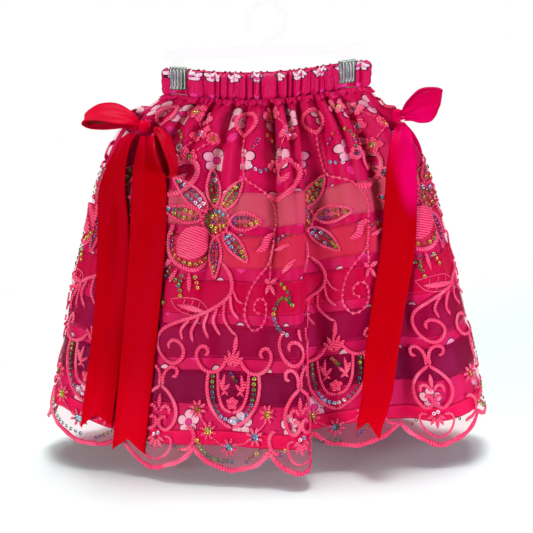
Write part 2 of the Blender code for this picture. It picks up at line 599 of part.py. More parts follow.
def slide(solid, way, others):
    """Move a solid along a direction, a few millimetres at most, until a seam's gap parts it from others."""
    way = np.array(way) / np.linalg.norm(way)
    tree, points = surface(solid)
    middle = (points.max(axis=0) + points.min(axis=0)) / 2
    reach = (points.max(axis=0) - points.min(axis=0)) / 2 + 0.01
    shapes = []
    for other in others:
        other_tree, other_points = surface(other)
        shapes.append((other_tree, other_points[(np.abs(other_points - middle) < reach).all(axis=1)]))
    moved = 0.0
    for _ in range(25):
        gap = min(
            min(distance(other_tree, points + way * moved), distance(tree, other_points - way * moved))
            for other_tree, other_points in shapes
        )
        if gap < SEAM_GAP + 0.00002 or moved > SLIDE_LIMIT:
            break
        moved += 0.9 * (gap - SEAM_GAP)
    for corner in solid.data.vertices:
        corner.co += Vector(way * moved)


def make_bows():
    """The two bows, each a knot, two loops and two tails of one satin. A tail is slid on to the skirt, its
    knot on to both, and its loops up to the knot."""
    satin = material("satin_bow", (0.62, 0.002, 0.02), 0.35)
    skirt = overlay_points()
    rests_on = [bpy.data.objects["overlay_front"], bpy.data.objects["overlay_back"]]
    tails = [
        {"name": "bow_left_tail_outer", "table": LEFT_OUTER_TAIL, "side": -1},
        {"name": "bow_left_tail_inner", "table": LEFT_INNER_TAIL, "side": -1},
        {"name": "bow_right_tail_front", "table": RIGHT_FRONT_TAIL, "side": -1},
        {"name": "bow_right_tail_back", "table": RIGHT_BACK_TAIL, "side": 1},
    ]
    for tail in tails:
        centres, sides = lay_tail(tail["table"], skirt, tail["side"])
        made = strip(tail["name"], satin, centres, sides, BOW_THICKNESS, 2, TAIL_NOTCH)
        slide(made, (0, -tail["side"], 0), rests_on)
        rests_on.append(made)
    for knot in KNOTS:
        solid = Solid()
        bmesh.ops.create_uvsphere(solid.mesh, u_segments=14, v_segments=8, radius=1)
        bmesh.ops.scale(solid.mesh, vec=knot["size"], verts=solid.mesh.verts)
        bmesh.ops.translate(solid.mesh, vec=(knot["x"], knot["y"], knot["z"]), verts=solid.mesh.verts)
        made = solid.finish(knot["name"], satin)
        slide(made, (0, 1, 0), rests_on)
        rests_on.append(made)
    loops = [
        {"name": "bow_left_loop_outer", "table": LEFT_OUTER_LOOP, "slide": (1, 0, -0.1)},
        {"name": "bow_left_loop_inner", "table": LEFT_INNER_LOOP, "slide": (-1, 0, 0.3)},
        {"name": "bow_right_loop_front", "table": RIGHT_FRONT_LOOP, "slide": (-1, 0, -0.3)},
        {"name": "bow_right_loop_back", "table": RIGHT_BACK_LOOP, "slide": (0, -1, 0)},
    ]
    for loop in loops:
        rows = smooth_rows([[*row["at"], row["half"], *row["edge"]] for row in loop["table"]], 2)
        sides = rows[:, 3:4] * rows[:, 4:] / np.linalg.norm(rows[:, 4:], axis=1, keepdims=True)
        made = strip(loop["name"], satin, rows[:, :3], sides, BOW_THICKNESS, 3)
        slide(made, loop["slide"], rests_on)
        rests_on.append(made)


def make_clips():
    """The two ribbed clips, each one plate bent over the waistband."""
    steel = material("clip_steel", (0.42, 0.45, 0.42), 0.35, metallic=1.0)
    ridges = np.where(np.arange(2 * CLIP_RIBS + 1) % 2, CLIP_RIB_HEIGHT, 0.0)
    for name, x, tilt in zip(("clip_left", "clip_right"), CLIP_X, CLIP_TILTS):
        jaw = CLIP_JAW + CLIP_PLATE / 2
        crown = CLIP_ROOM_ABOVE + CLIP_PLATE / 2
        bend = 0.0025
        profile = [(jaw, -CLIP_HEIGHT), (jaw, -CLIP_HEIGHT / 2), (jaw, crown - bend)]
        profile += [(jaw - bend + bend * math.cos(a), crown - bend + bend * math.sin(a)) for a in (0.52, 1.05)]
        profile += [(jaw - bend, crown)]
        profile += [(-y, z) for y, z in reversed(profile)]
        centres = np.array([(x, y, band_top(x) + z) for y, z in profile])
        sides = np.broadcast_to(CLIP_HALF_WIDTH * np.array((1.0, 0.0, tilt)), centres.shape)
        strip(name, steel, centres, sides, CLIP_PLATE, 2 * CLIP_RIBS, ridges=ridges)


def make_hanger():
    """The clear hanger, cut in one outline from a flat plate."""
    plastic = material("clear_plastic", (0.9, 0.92, 0.93), 0.1, alpha=0.3)

    def bar(x, above):
        """A point of the bar, a height above the waistband's own line."""
        return (x, BAND_TOP + TILT * x + above)

    def arc(radius, start, end, count):
        """Points of the hook round its centre, in degrees anticlockwise from +X."""
        angles = np.radians(np.linspace(start, end, count))
        return [(radius * math.cos(a), -HOOK_INSIDE + radius * math.sin(a)) for a in angles]

    outline = [bar(HANGER_BAR["left"], HANGER_BAR["foot"])]
    for x, tilt in zip(CLIP_X, CLIP_TILTS):
        ear_foot = band_top(x) + CLIP_ROOM_ABOVE + CLIP_PLATE + CLIP_RIB_HEIGHT + SEAM_GAP
        left, right = x - HANGER_EAR_HALF, x + HANGER_EAR_HALF
        outline.append(bar(left, HANGER_BAR["foot"]))
        outline.append((left, ear_foot - tilt * HANGER_EAR_HALF))
        outline.append((right, ear_foot + tilt * HANGER_EAR_HALF))
        outline.append(bar(right, HANGER_BAR["foot"]))
    outline.append(bar(HANGER_BAR["right"], HANGER_BAR["foot"]))
    outline.append(bar(HANGER_BAR["right"], HANGER_BAR["top"]))
    outline.append(bar(HANGER_STEM_HALF, HANGER_BAR["top"]))
    lean = math.degrees(math.asin(HANGER_STEM_HALF / HOOK_OUTSIDE))
    outline += arc(HOOK_OUTSIDE, -90 + lean, HOOK_END_DEGREES, 24)
    lean = math.degrees(math.asin(HANGER_STEM_HALF / HOOK_INSIDE))
    outline += arc(HOOK_INSIDE, HOOK_END_DEGREES, -90 - lean, 20)
    outline.append(bar(-HANGER_STEM_HALF, HANGER_BAR["top"]))
    outline.append(bar(HANGER_BAR["left"], HANGER_BAR["top"]))

    solid = Solid()
    front = solid.row([(x, -HANGER_HALF_THICKNESS, z) for x, z in outline])
    back = solid.row([(x, HANGER_HALF_THICKNESS, z) for x, z in outline])
    caps = [solid.mesh.faces.new(front), solid.mesh.faces.new(list(reversed(back)))]
    solid.join_rows(back, front, True)
    solid.mesh.normal_update()
    bmesh.ops.triangulate(solid.mesh, faces=caps)
    solid.finish("hanger", plastic, 30)


def ribbon_rows(around, ribbon, out):
    """A ribbon's two edges. It lies flat between the panels' rows above and below it."""
    rows = np.array(BODY_ROWS + (COTTON_LENGTH,))
    above = np.searchsorted(rows, ribbon["top"], side="right") - 1
    upper, lower = cloth(around, rows[above : above + 2], out)
    shares = [(ribbon[edge] - rows[above]) / (rows[above + 1] - rows[above]) for edge in ("top", "foot")]
    return [upper + (lower - upper) * share for share in shares]


def make_skirt():
    """The cotton, the ribbons sewn round it and the embroidered overlay, each as a front and a back."""
    cotton = material("printed_cotton", (0.75, 0.01, 0.12), 0.75)
    overlay = material("embroidered_net", (0.85, 0.10, 0.25), 0.6, alpha=0.5)
    satins = {row["name"]: material(f"satin_{row['name']}", row["colour"], 0.4) for row in RIBBONS}
    for panel, (start, end) in PANELS.items():
        skirt_panel(
            f"cotton_{panel}", cotton, panel, COTTON_INSIDE, 0.0, lambda a: np.full_like(a, COTTON_LENGTH)
        )
        skirt_panel(
            f"overlay_{panel}",
            overlay,
            panel,
            OVERLAY_INSIDE,
            OVERLAY_FACE,
            lambda a: OVERLAY_CUSP_LENGTH + scallop(a),
        )
        for ribbon in RIBBONS:
            around = columns(start, end, False)
            faces = [ribbon_rows(around, ribbon, out) for out in (RIBBON_FACE, RIBBON_UNDERSIDE)]
            wall(f"ribbon_{ribbon['name']}_{panel}", satins[ribbon["name"]], *faces)


def make_waistband():
    """The ruched casing: a closed loop with two columns to each rib outside and a plain inside."""
    cotton = material("waistband_cotton", (0.78, 0.01, 0.20), 0.6)
    rim = [
        {"down": 0.0000, "out": -0.0012, "rib": 0.4},
        {"down": 0.0050, "out": 0.0000, "rib": 1.0},
        {"down": 0.0185, "out": 0.0000, "rib": 1.0},
        {"down": BAND_HEIGHT, "out": -0.0008, "rib": 0.7},
    ]
    step = 0.01
    outer = np.arange(2 * BAND_RIBS) * SCALLOPS / (2 * BAND_RIBS)
    inner = outer[::2]

    def ring(around, down, out):
        """One ring of the band, a distance below its top edge and out from the waist's plan."""
        plan = waist_plan(around)
        along = waist_plan(around + step) - waist_plan(around - step)
        level = np.stack([along[:, 1], -along[:, 0]], axis=1)
        level /= np.linalg.norm(level, axis=1, keepdims=True)
        plan = plan + level * np.reshape(out, (-1, 1))
        return np.column_stack([plan, band_top(plan[:, 0]) - down])

    pinch = clip_pinch(waist_plan(outer)[:, 0])
    ribs = np.where(np.arange(len(outer)) % 2, -1.0, 1.0) * BAND_RIB_HEIGHT * (1 - pinch)
    swell = BAND_FACE * (1 - BAND_FLATTENED * pinch)
    faces = [
        [ring(outer, row["down"], swell + row["out"] + row["rib"] * ribs) for row in rim],
        [ring(inner, row["down"], np.full(len(inner), BAND_INSIDE)) for row in (rim[0], rim[-1])],
    ]
    return wall("waistband", cotton, *faces, closed=True)


def main():
    """Clears the scene and makes every piece."""
    for old in list(bpy.data.objects):
        bpy.data.objects.remove(old, do_unlink=True)
    make_skirt()
    make_waistband()
    make_bows()
    make_clips()
    make_hanger()


if __name__ == "__main__":
    main()
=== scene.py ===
"""A toddler's gathered skirt: printed cotton, satin ribbons, an embroidered scalloped net overlay and two
satin bows, hanging from a clear clip hanger. Everything is in metres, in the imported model's own frame:
+X right, -Y towards the front, +Z up, and the origin inside the top of the hanger's hook."""

import json
import logging
import math
from dataclasses import dataclass, field
from enum import Enum

import bpy
import numpy as np
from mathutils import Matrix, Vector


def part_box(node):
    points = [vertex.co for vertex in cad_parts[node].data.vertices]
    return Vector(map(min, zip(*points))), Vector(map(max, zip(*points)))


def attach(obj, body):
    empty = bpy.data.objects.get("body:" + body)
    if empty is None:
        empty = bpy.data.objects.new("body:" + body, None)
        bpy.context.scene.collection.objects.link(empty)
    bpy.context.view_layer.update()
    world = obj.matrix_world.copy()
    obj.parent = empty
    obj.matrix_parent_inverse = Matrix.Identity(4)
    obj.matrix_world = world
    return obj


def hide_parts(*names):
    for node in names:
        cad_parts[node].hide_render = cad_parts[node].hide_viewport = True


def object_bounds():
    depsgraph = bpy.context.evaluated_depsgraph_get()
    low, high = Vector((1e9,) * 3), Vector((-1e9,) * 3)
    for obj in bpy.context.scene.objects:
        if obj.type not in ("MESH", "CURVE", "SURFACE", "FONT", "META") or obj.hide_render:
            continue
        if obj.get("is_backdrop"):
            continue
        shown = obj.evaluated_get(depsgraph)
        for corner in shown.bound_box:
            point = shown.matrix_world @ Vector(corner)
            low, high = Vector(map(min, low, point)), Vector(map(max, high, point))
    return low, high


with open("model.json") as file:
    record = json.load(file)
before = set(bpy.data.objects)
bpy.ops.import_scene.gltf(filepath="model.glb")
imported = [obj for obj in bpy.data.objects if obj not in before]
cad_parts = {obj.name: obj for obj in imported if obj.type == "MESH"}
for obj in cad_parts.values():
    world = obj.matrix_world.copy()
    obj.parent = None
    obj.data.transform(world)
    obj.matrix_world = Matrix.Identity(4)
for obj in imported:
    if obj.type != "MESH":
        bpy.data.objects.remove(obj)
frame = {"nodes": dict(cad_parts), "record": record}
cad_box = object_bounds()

log = logging.getLogger("ribbon_skirt")

Colour = tuple[float, float, float]
Point = tuple[float, float]
Points = np.ndarray
Cord = tuple[Points, Points, Points, Points]
Look = bpy.types.Material
Piece = bpy.types.Object

SCALLOPS = 14
FRONT_SCALLOPS = 6.6
HEM_SCALLOP = 0.081
MM = 0.001
UP = np.array([0.0, 0.0, 1.0])


class Side(Enum):
    """The two panels of the skirt."""

    FRONT = "front"
    BACK = "back"

    @property
    def span(self) -> tuple[float, float]:
        """First and last place of the panel round the skirt, in scallops."""
        return (0.0, FRONT_SCALLOPS) if self is Side.FRONT else (FRONT_SCALLOPS, float(SCALLOPS))


class Held(Enum):
    """How a sheet of cloth is held."""

    HUNG = "hung"
    GATHERED = "gathered"
    FOLDED = "folded"


@dataclass(frozen=True)
class Cut:
    """How a sheet was cut: width and length in metres, how it is held, what it rests on, its area where it
    isn't a rectangle, and the pieces that go with it."""

    flat: tuple[float, float]
    held: Held
    rests_on: tuple[str, ...]
    area: float | None = None
    goes_with: tuple[str, ...] = ()


def srgb(red: int, green: int, blue: int) -> Colour:
    """Turns a screen colour, each part 0 to 255, into a linear one, each part 0 to 1."""
    parts = [part / 255 for part in (red, green, blue)]
    return tuple(p / 12.92 if p <= 0.04045 else ((p + 0.055) / 1.055) ** 2.4 for p in parts)


# Finishes


class Reading:
    """A shader socket that takes part in sums as a number does."""

    def __init__(self, graph: "Graph", socket: bpy.types.NodeSocket) -> None:
        """Keeps the socket and the graph that it belongs to."""
        self.graph = graph
        self.socket = socket

    def sum(self, operation: str, *others: "Reading | float") -> "Reading":
        """Adds a Math node of that operation, with this value first."""
        return self.graph.node("ShaderNodeMath", {"operation": operation}, self, *others)

    def __add__(self, other: "Reading | float") -> "Reading":
        """This plus other."""
        return self.sum("ADD", other)

    def __mul__(self, other: "Reading | float") -> "Reading":
        """This times other."""
        return self.sum("MULTIPLY", other)

    def __sub__(self, other: "Reading | float") -> "Reading":
        """This less other."""
        return self.sum("SUBTRACT", other)

    def __rsub__(self, other: float) -> "Reading":
        """Other less this."""
        return self.graph.node("ShaderNodeMath", {"operation": "SUBTRACT"}, other, self)

    def __lt__(self, other: "Reading | float") -> "Reading":
        """1 where this is less than other."""
        return self.sum("LESS_THAN", other)

    def __gt__(self, other: "Reading | float") -> "Reading":
        """1 where this is greater than other."""
        return self.sum("GREATER_THAN", other)

    def __mod__(self, other: float) -> "Reading":
        """What is left of this after whole steps of other, never negative."""
        return self.sum("FLOORED_MODULO", other)

    def __abs__(self) -> "Reading":
        """This without its sign."""
        return self.sum("ABSOLUTE")

    def ramp(self, low: float, high: float) -> "Reading":
        """0 up to low, 1 from high, smooth between."""
        smooth = {"interpolation_type": "SMOOTHSTEP"}
        return self.graph.node("ShaderNodeMapRange", smooth, self, float(low), float(high), 0.0, 1.0)

    __radd__ = __add__
    __rmul__ = __mul__


class Graph:
    """The nodes of one material round its Principled shader.

    The Mix node's sockets are found by number, because its kinds share their names.
    """

    mix_inputs = (0, 6, 7)
    mix_output = 2

    def __init__(self, name: str) -> None:
        """Makes an empty material with one shader."""
        self.material = bpy.data.materials.new(name)
        self.material.use_nodes = True
        self.tree = self.material.node_tree
        self.shader = self.tree.nodes["Principled BSDF"]

    def node(
        self, kind: str, settings: dict | None, *values: object, output: int | str = 0, **named: object
    ) -> Reading:
        """Adds any node.

        Args:
            kind: The node's type.
            settings: The node's own settings, set before its sockets. A ramp's stops are under "stops".
            values: What each input gets, in order: a Reading, a plain value, or None to leave it alone.
            output: Which output to read.
            named: Inputs by name instead, with _ for a space.

        Returns:
            The output as a Reading.
        """
        made = self.tree.nodes.new(kind)
        for key, value in (settings or {}).items():
            if key == "stops":
                for _ in range(len(value) - 2):
                    made.color_ramp.elements.new(0.5)
                for stop, (place, colour) in zip(made.color_ramp.elements, value):
                    stop.position = place
                    stop.color = (*colour, 1)
            else:
                setattr(made, key, value)
        for socket, value in zip(made.inputs, values):
            self.put(socket, value)
        for name, value in named.items():
            self.put(made.inputs[name.replace("_", " ")], value)
        return Reading(self, made.outputs[output])

    def put(self, socket: bpy.types.NodeSocket, value: object) -> None:
        """Links or sets one socket."""
        if value is None:
            return
        if isinstance(value, Reading):
            self.tree.links.new(value.socket, socket)
        elif isinstance(value, tuple) and len(value) == 3 and socket.type == "RGBA":
            socket.default_value = (*value, 1)
        else:
            socket.default_value = value

    def set(self, **sockets: object) -> None:
        """Sets the shader's sockets by name, with _ for a space."""
        for name, value in sockets.items():
            self.put(self.shader.inputs[name.replace("_", " ")], value)

    def mix(self, share: Reading | float, first: object, second: object) -> Reading:
        """A colour that goes from first to second as share goes from 0 to 1."""
        made = self.tree.nodes.new("ShaderNodeMix")
        made.data_type = "RGBA"
        for socket, value in zip(self.mix_inputs, (share, first, second)):
            self.put(made.inputs[socket], value)
        return Reading(self, made.outputs[self.mix_output])

    def uv(self) -> tuple[Reading, Reading]:
        """The piece's own UV, across and along, in metres."""
        split = self.node("ShaderNodeSeparateXYZ", None, self.node("ShaderNodeTexCoord", None, output="UV"))
        return split, Reading(self, split.socket.node.outputs["Y"])

    def place(self) -> Reading:
        """The piece's own place in space, in metres."""
        return self.node("ShaderNodeTexCoord", None, output="Object")

    def part(self, axis: str) -> Reading:
        """The piece's own place along X, Y or Z, in metres."""
        return self.node("ShaderNodeSeparateXYZ", None, self.place(), output=axis)

    def noise(self, place: Reading, scale: float, detail: float = 2.0) -> Reading:
        """Soft noise from 0 to 1."""
        return self.node("ShaderNodeTexNoise", None, Vector=place, Scale=scale, Detail=detail)

    def bump(self, height: Reading, depth: float) -> None:
        """Raises the surface by a height of 0 to 1 times a depth in metres."""
        self.set(Normal=self.node("ShaderNodeBump", None, Strength=1.0, Distance=depth, Height=height))


@dataclass(frozen=True)
class Finish:
    """A finish: what a maker would call it, its colour, and how it takes the light."""

    name: str
    colour: Colour
    roughness: float = 0.7

    def build(self) -> Look:
        """Makes the material."""
        graph = Graph(self.name)
        graph.set(Base_Color=self.colour, Roughness=self.roughness)
        self.dress(graph)
        return graph.material

    def dress(self, graph: Graph) -> None:
        """Adds what sets this finish apart."""


@dataclass(frozen=True)
class PrintedCotton(Finish):
    """Plain-weave cotton printed with staggered outlined blossoms and small hearts.

    The print's sizes are in metres: one cell of the repeat, and a blossom's radius.
    """

    cell: tuple[float, float] = (0.058, 0.042)
    blossom: float = 0.0122
    petal: Colour = srgb(246, 214, 220)
    ink: Colour = srgb(30, 4, 22)
    heart: Colour = srgb(236, 60, 150)
    heart_size: float = 0.0042
    outline: float = 0.00075
    eye_outline: float = 0.00035
    weave_pitch: float = 0.0006
    weave_depth: float = 0.00006

    def within(self, graph: Graph, shift: float) -> tuple[Reading, Reading]:
        """Distances across and along, in metres, from the middle of the repeat's cell. Every second row is
        moved by half a cell, and the whole pattern by shift cells both ways."""
        across, along = graph.uv()
        width, height = self.cell
        row = (along * (1 / height) + shift).sum("FLOOR")
        column = across * (1 / width) + (row % 2) * 0.5 + shift
        return ((column % 1) - 0.5) * width, (((along * (1 / height) + shift) % 1) - 0.5) * height

    def dress(self, graph: Graph) -> None:
        """Prints the blossoms and hearts on the weave.

        A blossom's edge is a circle whose radius swells five times round, and a heart is where
        (x^2 + y^2 - 1)^3 is less than x^2 y^3.
        """
        across, along = self.within(graph, 0.0)
        reach = (across * across + along * along).sum("SQRT")
        turn = along.sum("ARCTAN2", across) + 0.35
        wave = abs((turn * 2.5).sum("COSINE"))
        edge = reach - (wave * 0.34 + 0.7) * self.blossom
        petals = edge < 0.0
        outline = abs(edge) < self.outline
        folds = (wave < 0.16).sum("MULTIPLY", petals) * (reach > self.blossom * 0.42)
        eye = reach < self.blossom * 0.27
        rim = abs(reach - self.blossom * 0.29) < self.eye_outline
        x, y = self.within(graph, 0.5)
        x, y = x * (1 / self.heart_size), y * (-1 / self.heart_size)
        round_part = x * x + y * y - 1.0
        heart = (round_part * round_part * round_part - x * x * y * y * y) < 0.0
        cloudy = graph.noise(graph.place(), 14.0)
        ground = graph.mix(cloudy, self.colour, tuple(c * 0.82 for c in self.colour))
        colour = graph.mix(petals, ground, self.petal)
        colour = graph.mix(heart, colour, self.heart)
        colour = graph.mix(eye, colour, self.heart)
        colour = graph.mix((outline + folds + rim).sum("MINIMUM", 1.0), colour, self.ink)
        across, along = graph.uv()
        turns = 2 * math.pi / self.weave_pitch
        weave = (across * turns).sum("SINE") * (along * turns).sum("SINE")
        graph.bump(weave * 0.5 + 0.5, self.weave_depth)
        graph.set(Base_Color=colour, Specular_Tint=(1.0, 0.3, 0.75, 1.0))
        graph.set(Sheen_Weight=0.22, Sheen_Tint=(1.0, 0.15, 0.75, 1.0))


@dataclass(frozen=True)
class Satin(Finish):
    """Satin ribbon with fine cross ribs, woven edges and, where it is sewn down, a zigzag stitch along them.

    width is the ribbon's own, in metres, and thread the stitching's colour, if it has any. Where the ribbon
    hangs free, its upper part takes a painted magenta highlight, in another colour at the skirt's right, and
    its end takes the foot colour.
    """

    width: float = 0.032
    thread: Colour | None = None
    shine: Colour = (1.0, 0.1, 0.45)
    gloss: float = 0.35
    bloom: float = 0.12
    # painted highlight colours: a magenta painted on the upper part of free-hanging ribbon, and the one it
    # takes at the skirt's right
    flush: Colour | None = None
    flush_right: Colour = srgb(236, 0, 112)
    foot: Colour = srgb(214, 0, 22)
    rib_pitch: float = 0.0007
    zigzag_pitch: float = 0.003
    relief: float = 0.00018

    def dress(self, graph: Graph) -> None:
        """Adds the ribs, the edges and the stitches."""
        along, across = graph.uv()
        ribs = (along * (2 * math.pi / self.rib_pitch)).sum("SINE") * 0.5 + 0.5
        edge = across.sum("MINIMUM", self.width - across)
        selvedge = 1.0 - edge.ramp(0.0004, 0.0012)
        cloudy = graph.noise(graph.place(), 25.0)
        colour = graph.mix(cloudy * 0.5, self.colour, tuple(c * 0.72 for c in self.colour))
        # paints a highlight on the upper part of ribbon that hangs free, then the foot colour at its end
        if self.flush:
            colour = self.flushed(graph, colour)
        colour = graph.mix(selvedge * 0.35, colour, tuple(c * 0.5 for c in self.colour))
        height = ribs * 0.25 + edge.ramp(0.0, 0.001) * 0.75
        if self.thread:
            swing = abs((along * (1 / self.zigzag_pitch)) % 1 - 0.5) * 2
            stitch = 1.0 - abs(edge - 0.0009 - swing * 0.0017).ramp(0.0001, 0.0005)
            colour = graph.mix(stitch, colour, self.thread)
            height = height + stitch * 0.6
        graph.bump(height, self.relief)
        graph.set(Base_Color=colour, Specular_Tint=self.shine, Specular_IOR_Level=self.gloss)
        graph.set(Sheen_Weight=self.bloom, Sheen_Tint=(*self.shine, 1.0), Sheen_Roughness=0.45)

    def flushed(self, graph: Graph, colour: Reading) -> Reading:
        """The colour with a painted magenta highlight: cloudy, strongest high up, and reaching lower at the
        skirt's right; then the foot colour mixed in towards the ribbon's end.
        """
        right, height = graph.part("X").ramp(0.11, 0.14), graph.part("Z")
        lit = graph.mix(right, self.flush, self.flush_right)
        high = (height + right * 0.055).ramp(-0.155, -0.115)
        cloudy = graph.noise(graph.place(), 14.0, 1.0).ramp(0.3, 0.66) * 0.6 + 0.4
        colour = graph.mix(high * (cloudy * (right * 0.15 + 0.75)), colour, lit)
        return graph.mix((height * -1.0).ramp(0.32, 0.42) * 0.6, colour, self.foot)


@dataclass(frozen=True)
class Net(Finish):
    """Sheer net: a fine mesh of threads that lets most of what is behind it through."""

    thread: float = 0.0011
    cover: float = 0.095
    ways: tuple[Point, ...] = ((1, 0), (0.5, 0.87), (0.5, -0.87))

    def dress(self, graph: Graph) -> None:
        """Draws the threads, which run three ways, and thins the gaps between them."""
        across, along = graph.uv()
        lines = [abs(((across * a + along * b) * (1 / self.thread)) % 1 - 0.5) for a, b in self.ways]
        thread = 1.0 - lines[0].sum("MINIMUM", lines[1]).sum("MINIMUM", lines[2]).ramp(0.05, 0.2)
        cloudy = graph.noise(graph.place(), 9.0)
        graph.set(
            Alpha=thread * (self.cover * 0.9) + (cloudy * 0.3 + 0.85) * (self.cover * 0.62),
            Specular_IOR_Level=0.05,
        )


@dataclass(frozen=True)
class Thread(Finish):
    """Satin stitch: glossy threads laid side by side across a raised line."""

    pitch: float = 0.0027
    slant: float = 0.55
    # painted shade: the darker colour of the grooves between threads
    shade: Colour = srgb(208, 18, 74)
    light: Colour = srgb(255, 138, 166)
    relief: float = 0.00055

    def dress(self, graph: Graph) -> None:
        """Lays the threads, with painted shade in the grooves between them."""
        along, across = graph.uv()
        wander = graph.noise(graph.place(), 240.0) * 0.0016
        threads = (along + across * self.slant + wander) * (2 * math.pi / self.pitch)
        ridge = threads.sum("SINE") * 0.5 + 0.5
        tint = graph.noise(graph.place(), 35.0)
        # painted shade in the grooves between threads, the thread's own colour on their crests
        colour = graph.mix(ridge.ramp(0.15, 0.85), self.shade, self.colour)
        colour = graph.mix(tint.ramp(0.45, 0.75) * 0.45, colour, self.light)
        graph.bump(ridge, self.relief)
        graph.set(Base_Color=colour, Specular_IOR_Level=0.25)
        graph.set(Sheen_Weight=0.15, Sheen_Tint=(1.0, 0.5, 0.75, 1.0))


@dataclass(frozen=True)
class Foil(Finish):
    """Iridescent sequin film, whose colour is read from the UV's first number."""

    palette: tuple[Colour, ...] = (
        srgb(240, 225, 232), srgb(90, 190, 225), srgb(25, 105, 130), srgb(18, 48, 44), srgb(40, 112, 30),
        srgb(110, 155, 30), srgb(205, 205, 50), srgb(190, 100, 30), srgb(112, 34, 14), srgb(78, 44, 130),
    )

    def dress(self, graph: Graph) -> None:
        """Colours each sequin from its own place in the palette."""
        shade, _ = graph.uv()
        stops = [(i / (len(self.palette) - 1), colour) for i, colour in enumerate(self.palette)]
        colour = graph.node("ShaderNodeValToRGB", {"stops": stops}, shade)
        graph.set(Base_Color=colour, Metallic=0.35, Coat_Weight=0.6, Coat_Roughness=0.08)


@dataclass(frozen=True)
class Steel(Finish):
    """Dull plated steel with fine rubbed marks."""

    def dress(self, graph: Graph) -> None:
        """Adds the rubbed marks and duller hollows."""
        place = graph.place()
        marks = graph.noise(place, 900.0, 3.0)
        stains = graph.noise(place, 120.0)
        colour = graph.mix(stains.ramp(0.35, 0.7), self.colour, tuple(c * 0.6 for c in self.colour))
        graph.bump(marks, 0.00003)
        graph.set(Base_Color=colour, Metallic=0.85, Roughness=marks * 0.2 + self.roughness)


@dataclass(frozen=True)
class ClearPlastic(Finish):
    """Clear moulded plastic, seen mostly by its edges."""

    cover: float = 0.1

    def dress(self, graph: Graph) -> None:
        """Thins the plastic, with faint flow marks."""
        marks = graph.noise(graph.place(), 60.0)
        graph.set(Alpha=marks * 0.03 + self.cover, Specular_IOR_Level=0.25)
        graph.bump(marks, 0.0001)


@dataclass(frozen=True)
class Floor(Finish):
    """The studio's pale floor."""

    lighter: Colour = (0.87, 0.98, 0.96)

    def dress(self, graph: Graph) -> None:
        """Adds the faintest unevenness."""
        graph.set(Base_Color=graph.mix(graph.noise(graph.place(), 2.0), self.colour, self.lighter))


# Meshes


def quads_of(rows: int, columns: int, closed: bool = False) -> Points:
    """Corner numbers of the faces of a grid of points, (faces, 4).

    Args:
        rows: How many rows of points.
        columns: How many points in a row.
        closed: Whether each row runs round and meets itself.

    Returns:
        The corner numbers, anticlockwise with rows going down and columns to the right.
    """
    across = columns if closed else columns - 1
    row, column = np.meshgrid(np.arange(rows - 1), np.arange(across), indexing="ij")
    upper, lower, right = row * columns, (row + 1) * columns, (column + 1) % columns
    return np.stack([upper + column, lower + column, lower + right, upper + right], axis=-1).reshape(-1, 4)


def ring_quads(rows: int, columns: int) -> Points:
    """Corner numbers for a grid that closes on itself both ways, (faces, 4)."""
    return quads_of(rows + 1, columns, closed=True) % (rows * columns)


def make_mesh(
    name: str, points: Points, faces: Points, uv: Points, look: Look, smooth: float = 60
) -> Piece:
    """Puts whole arrays into a mesh.

    Args:
        name: The piece's name.
        points: Places, (n, 3).
        faces: Corner numbers, (m, 4).
        uv: UV for each point, (n, 2), or for each corner of each face, (m, 4, 2).
        look: The material.
        smooth: Edges sharper than this many degrees stay sharp.

    Returns:
        The new object, at the origin.
    """
    mesh = bpy.data.meshes.new(name)
    corners = np.ascontiguousarray(faces, np.int32).ravel()
    mesh.vertices.add(len(points))
    mesh.vertices.foreach_set("co", np.ascontiguousarray(points, np.float32).ravel())
    mesh.loops.add(len(corners))
    mesh.loops.foreach_set("vertex_index", corners)
    mesh.polygons.add(len(faces))
    mesh.polygons.foreach_set("loop_start", np.arange(0, len(corners), 4, dtype=np.int32))
    mesh.update(calc_edges=True)
    layer = mesh.uv_layers.new(name="UVMap")
    by_corner = uv[corners] if uv.ndim == 2 else uv.reshape(-1, 2)
    layer.data.foreach_set("uv", np.ascontiguousarray(by_corner, np.float32).ravel())
    mesh.shade_smooth()
    mesh.set_sharp_from_angle(angle=math.radians(smooth))
    mesh.materials.append(look)
    mesh.validate()
    made = bpy.data.objects.new(name, mesh)
    bpy.context.scene.collection.objects.link(made)
    return made


def thicken(piece: Piece, thickness: float, offset: float = -1.0) -> Piece:
    """Gives a sheet its thickness, inwards unless offset says otherwise."""
    wall = piece.modifiers.new("thickness", "SOLIDIFY")
    wall.thickness = thickness
    wall.offset = offset
    return piece


def gathered_uv(around: Points, down: Points, width: Points, turn: Points, cut: float) -> Points:
    """UV of gathered cloth, whose valleys swallow what a gather can't show: in each gather u is the cut's own
    place at the middle, and runs at its true size to both sides.

    Args:
        around: Places round, (columns).
        down: Lengths down the cloth, (rows, columns).
        width: How wide a scallop now is, (rows, columns).
        turn: The gathers' angle at each place, (columns), whole turns at the crests.
        cut: How wide a scallop was cut.

    Returns:
        UV for each corner of each face, (faces, 4, 2).
    """
    number = np.floor((turn[:-1] + turn[1:]) / (4 * math.pi) + 0.5)
    middle = np.interp(number * 2 * math.pi, turn, around)
    left = middle * cut + (around[:-1] - middle) * width[:, :-1]
    right = middle * cut + (around[1:] - middle) * width[:, 1:]
    u = np.stack([left[:-1], left[1:], right[1:], right[:-1]], axis=-1)
    v = np.stack([down[:-1, :-1], down[1:, :-1], down[1:, 1:], down[:-1, 1:]], axis=-1)
    return np.stack([u, v], axis=-1).reshape(-1, 4, 2)


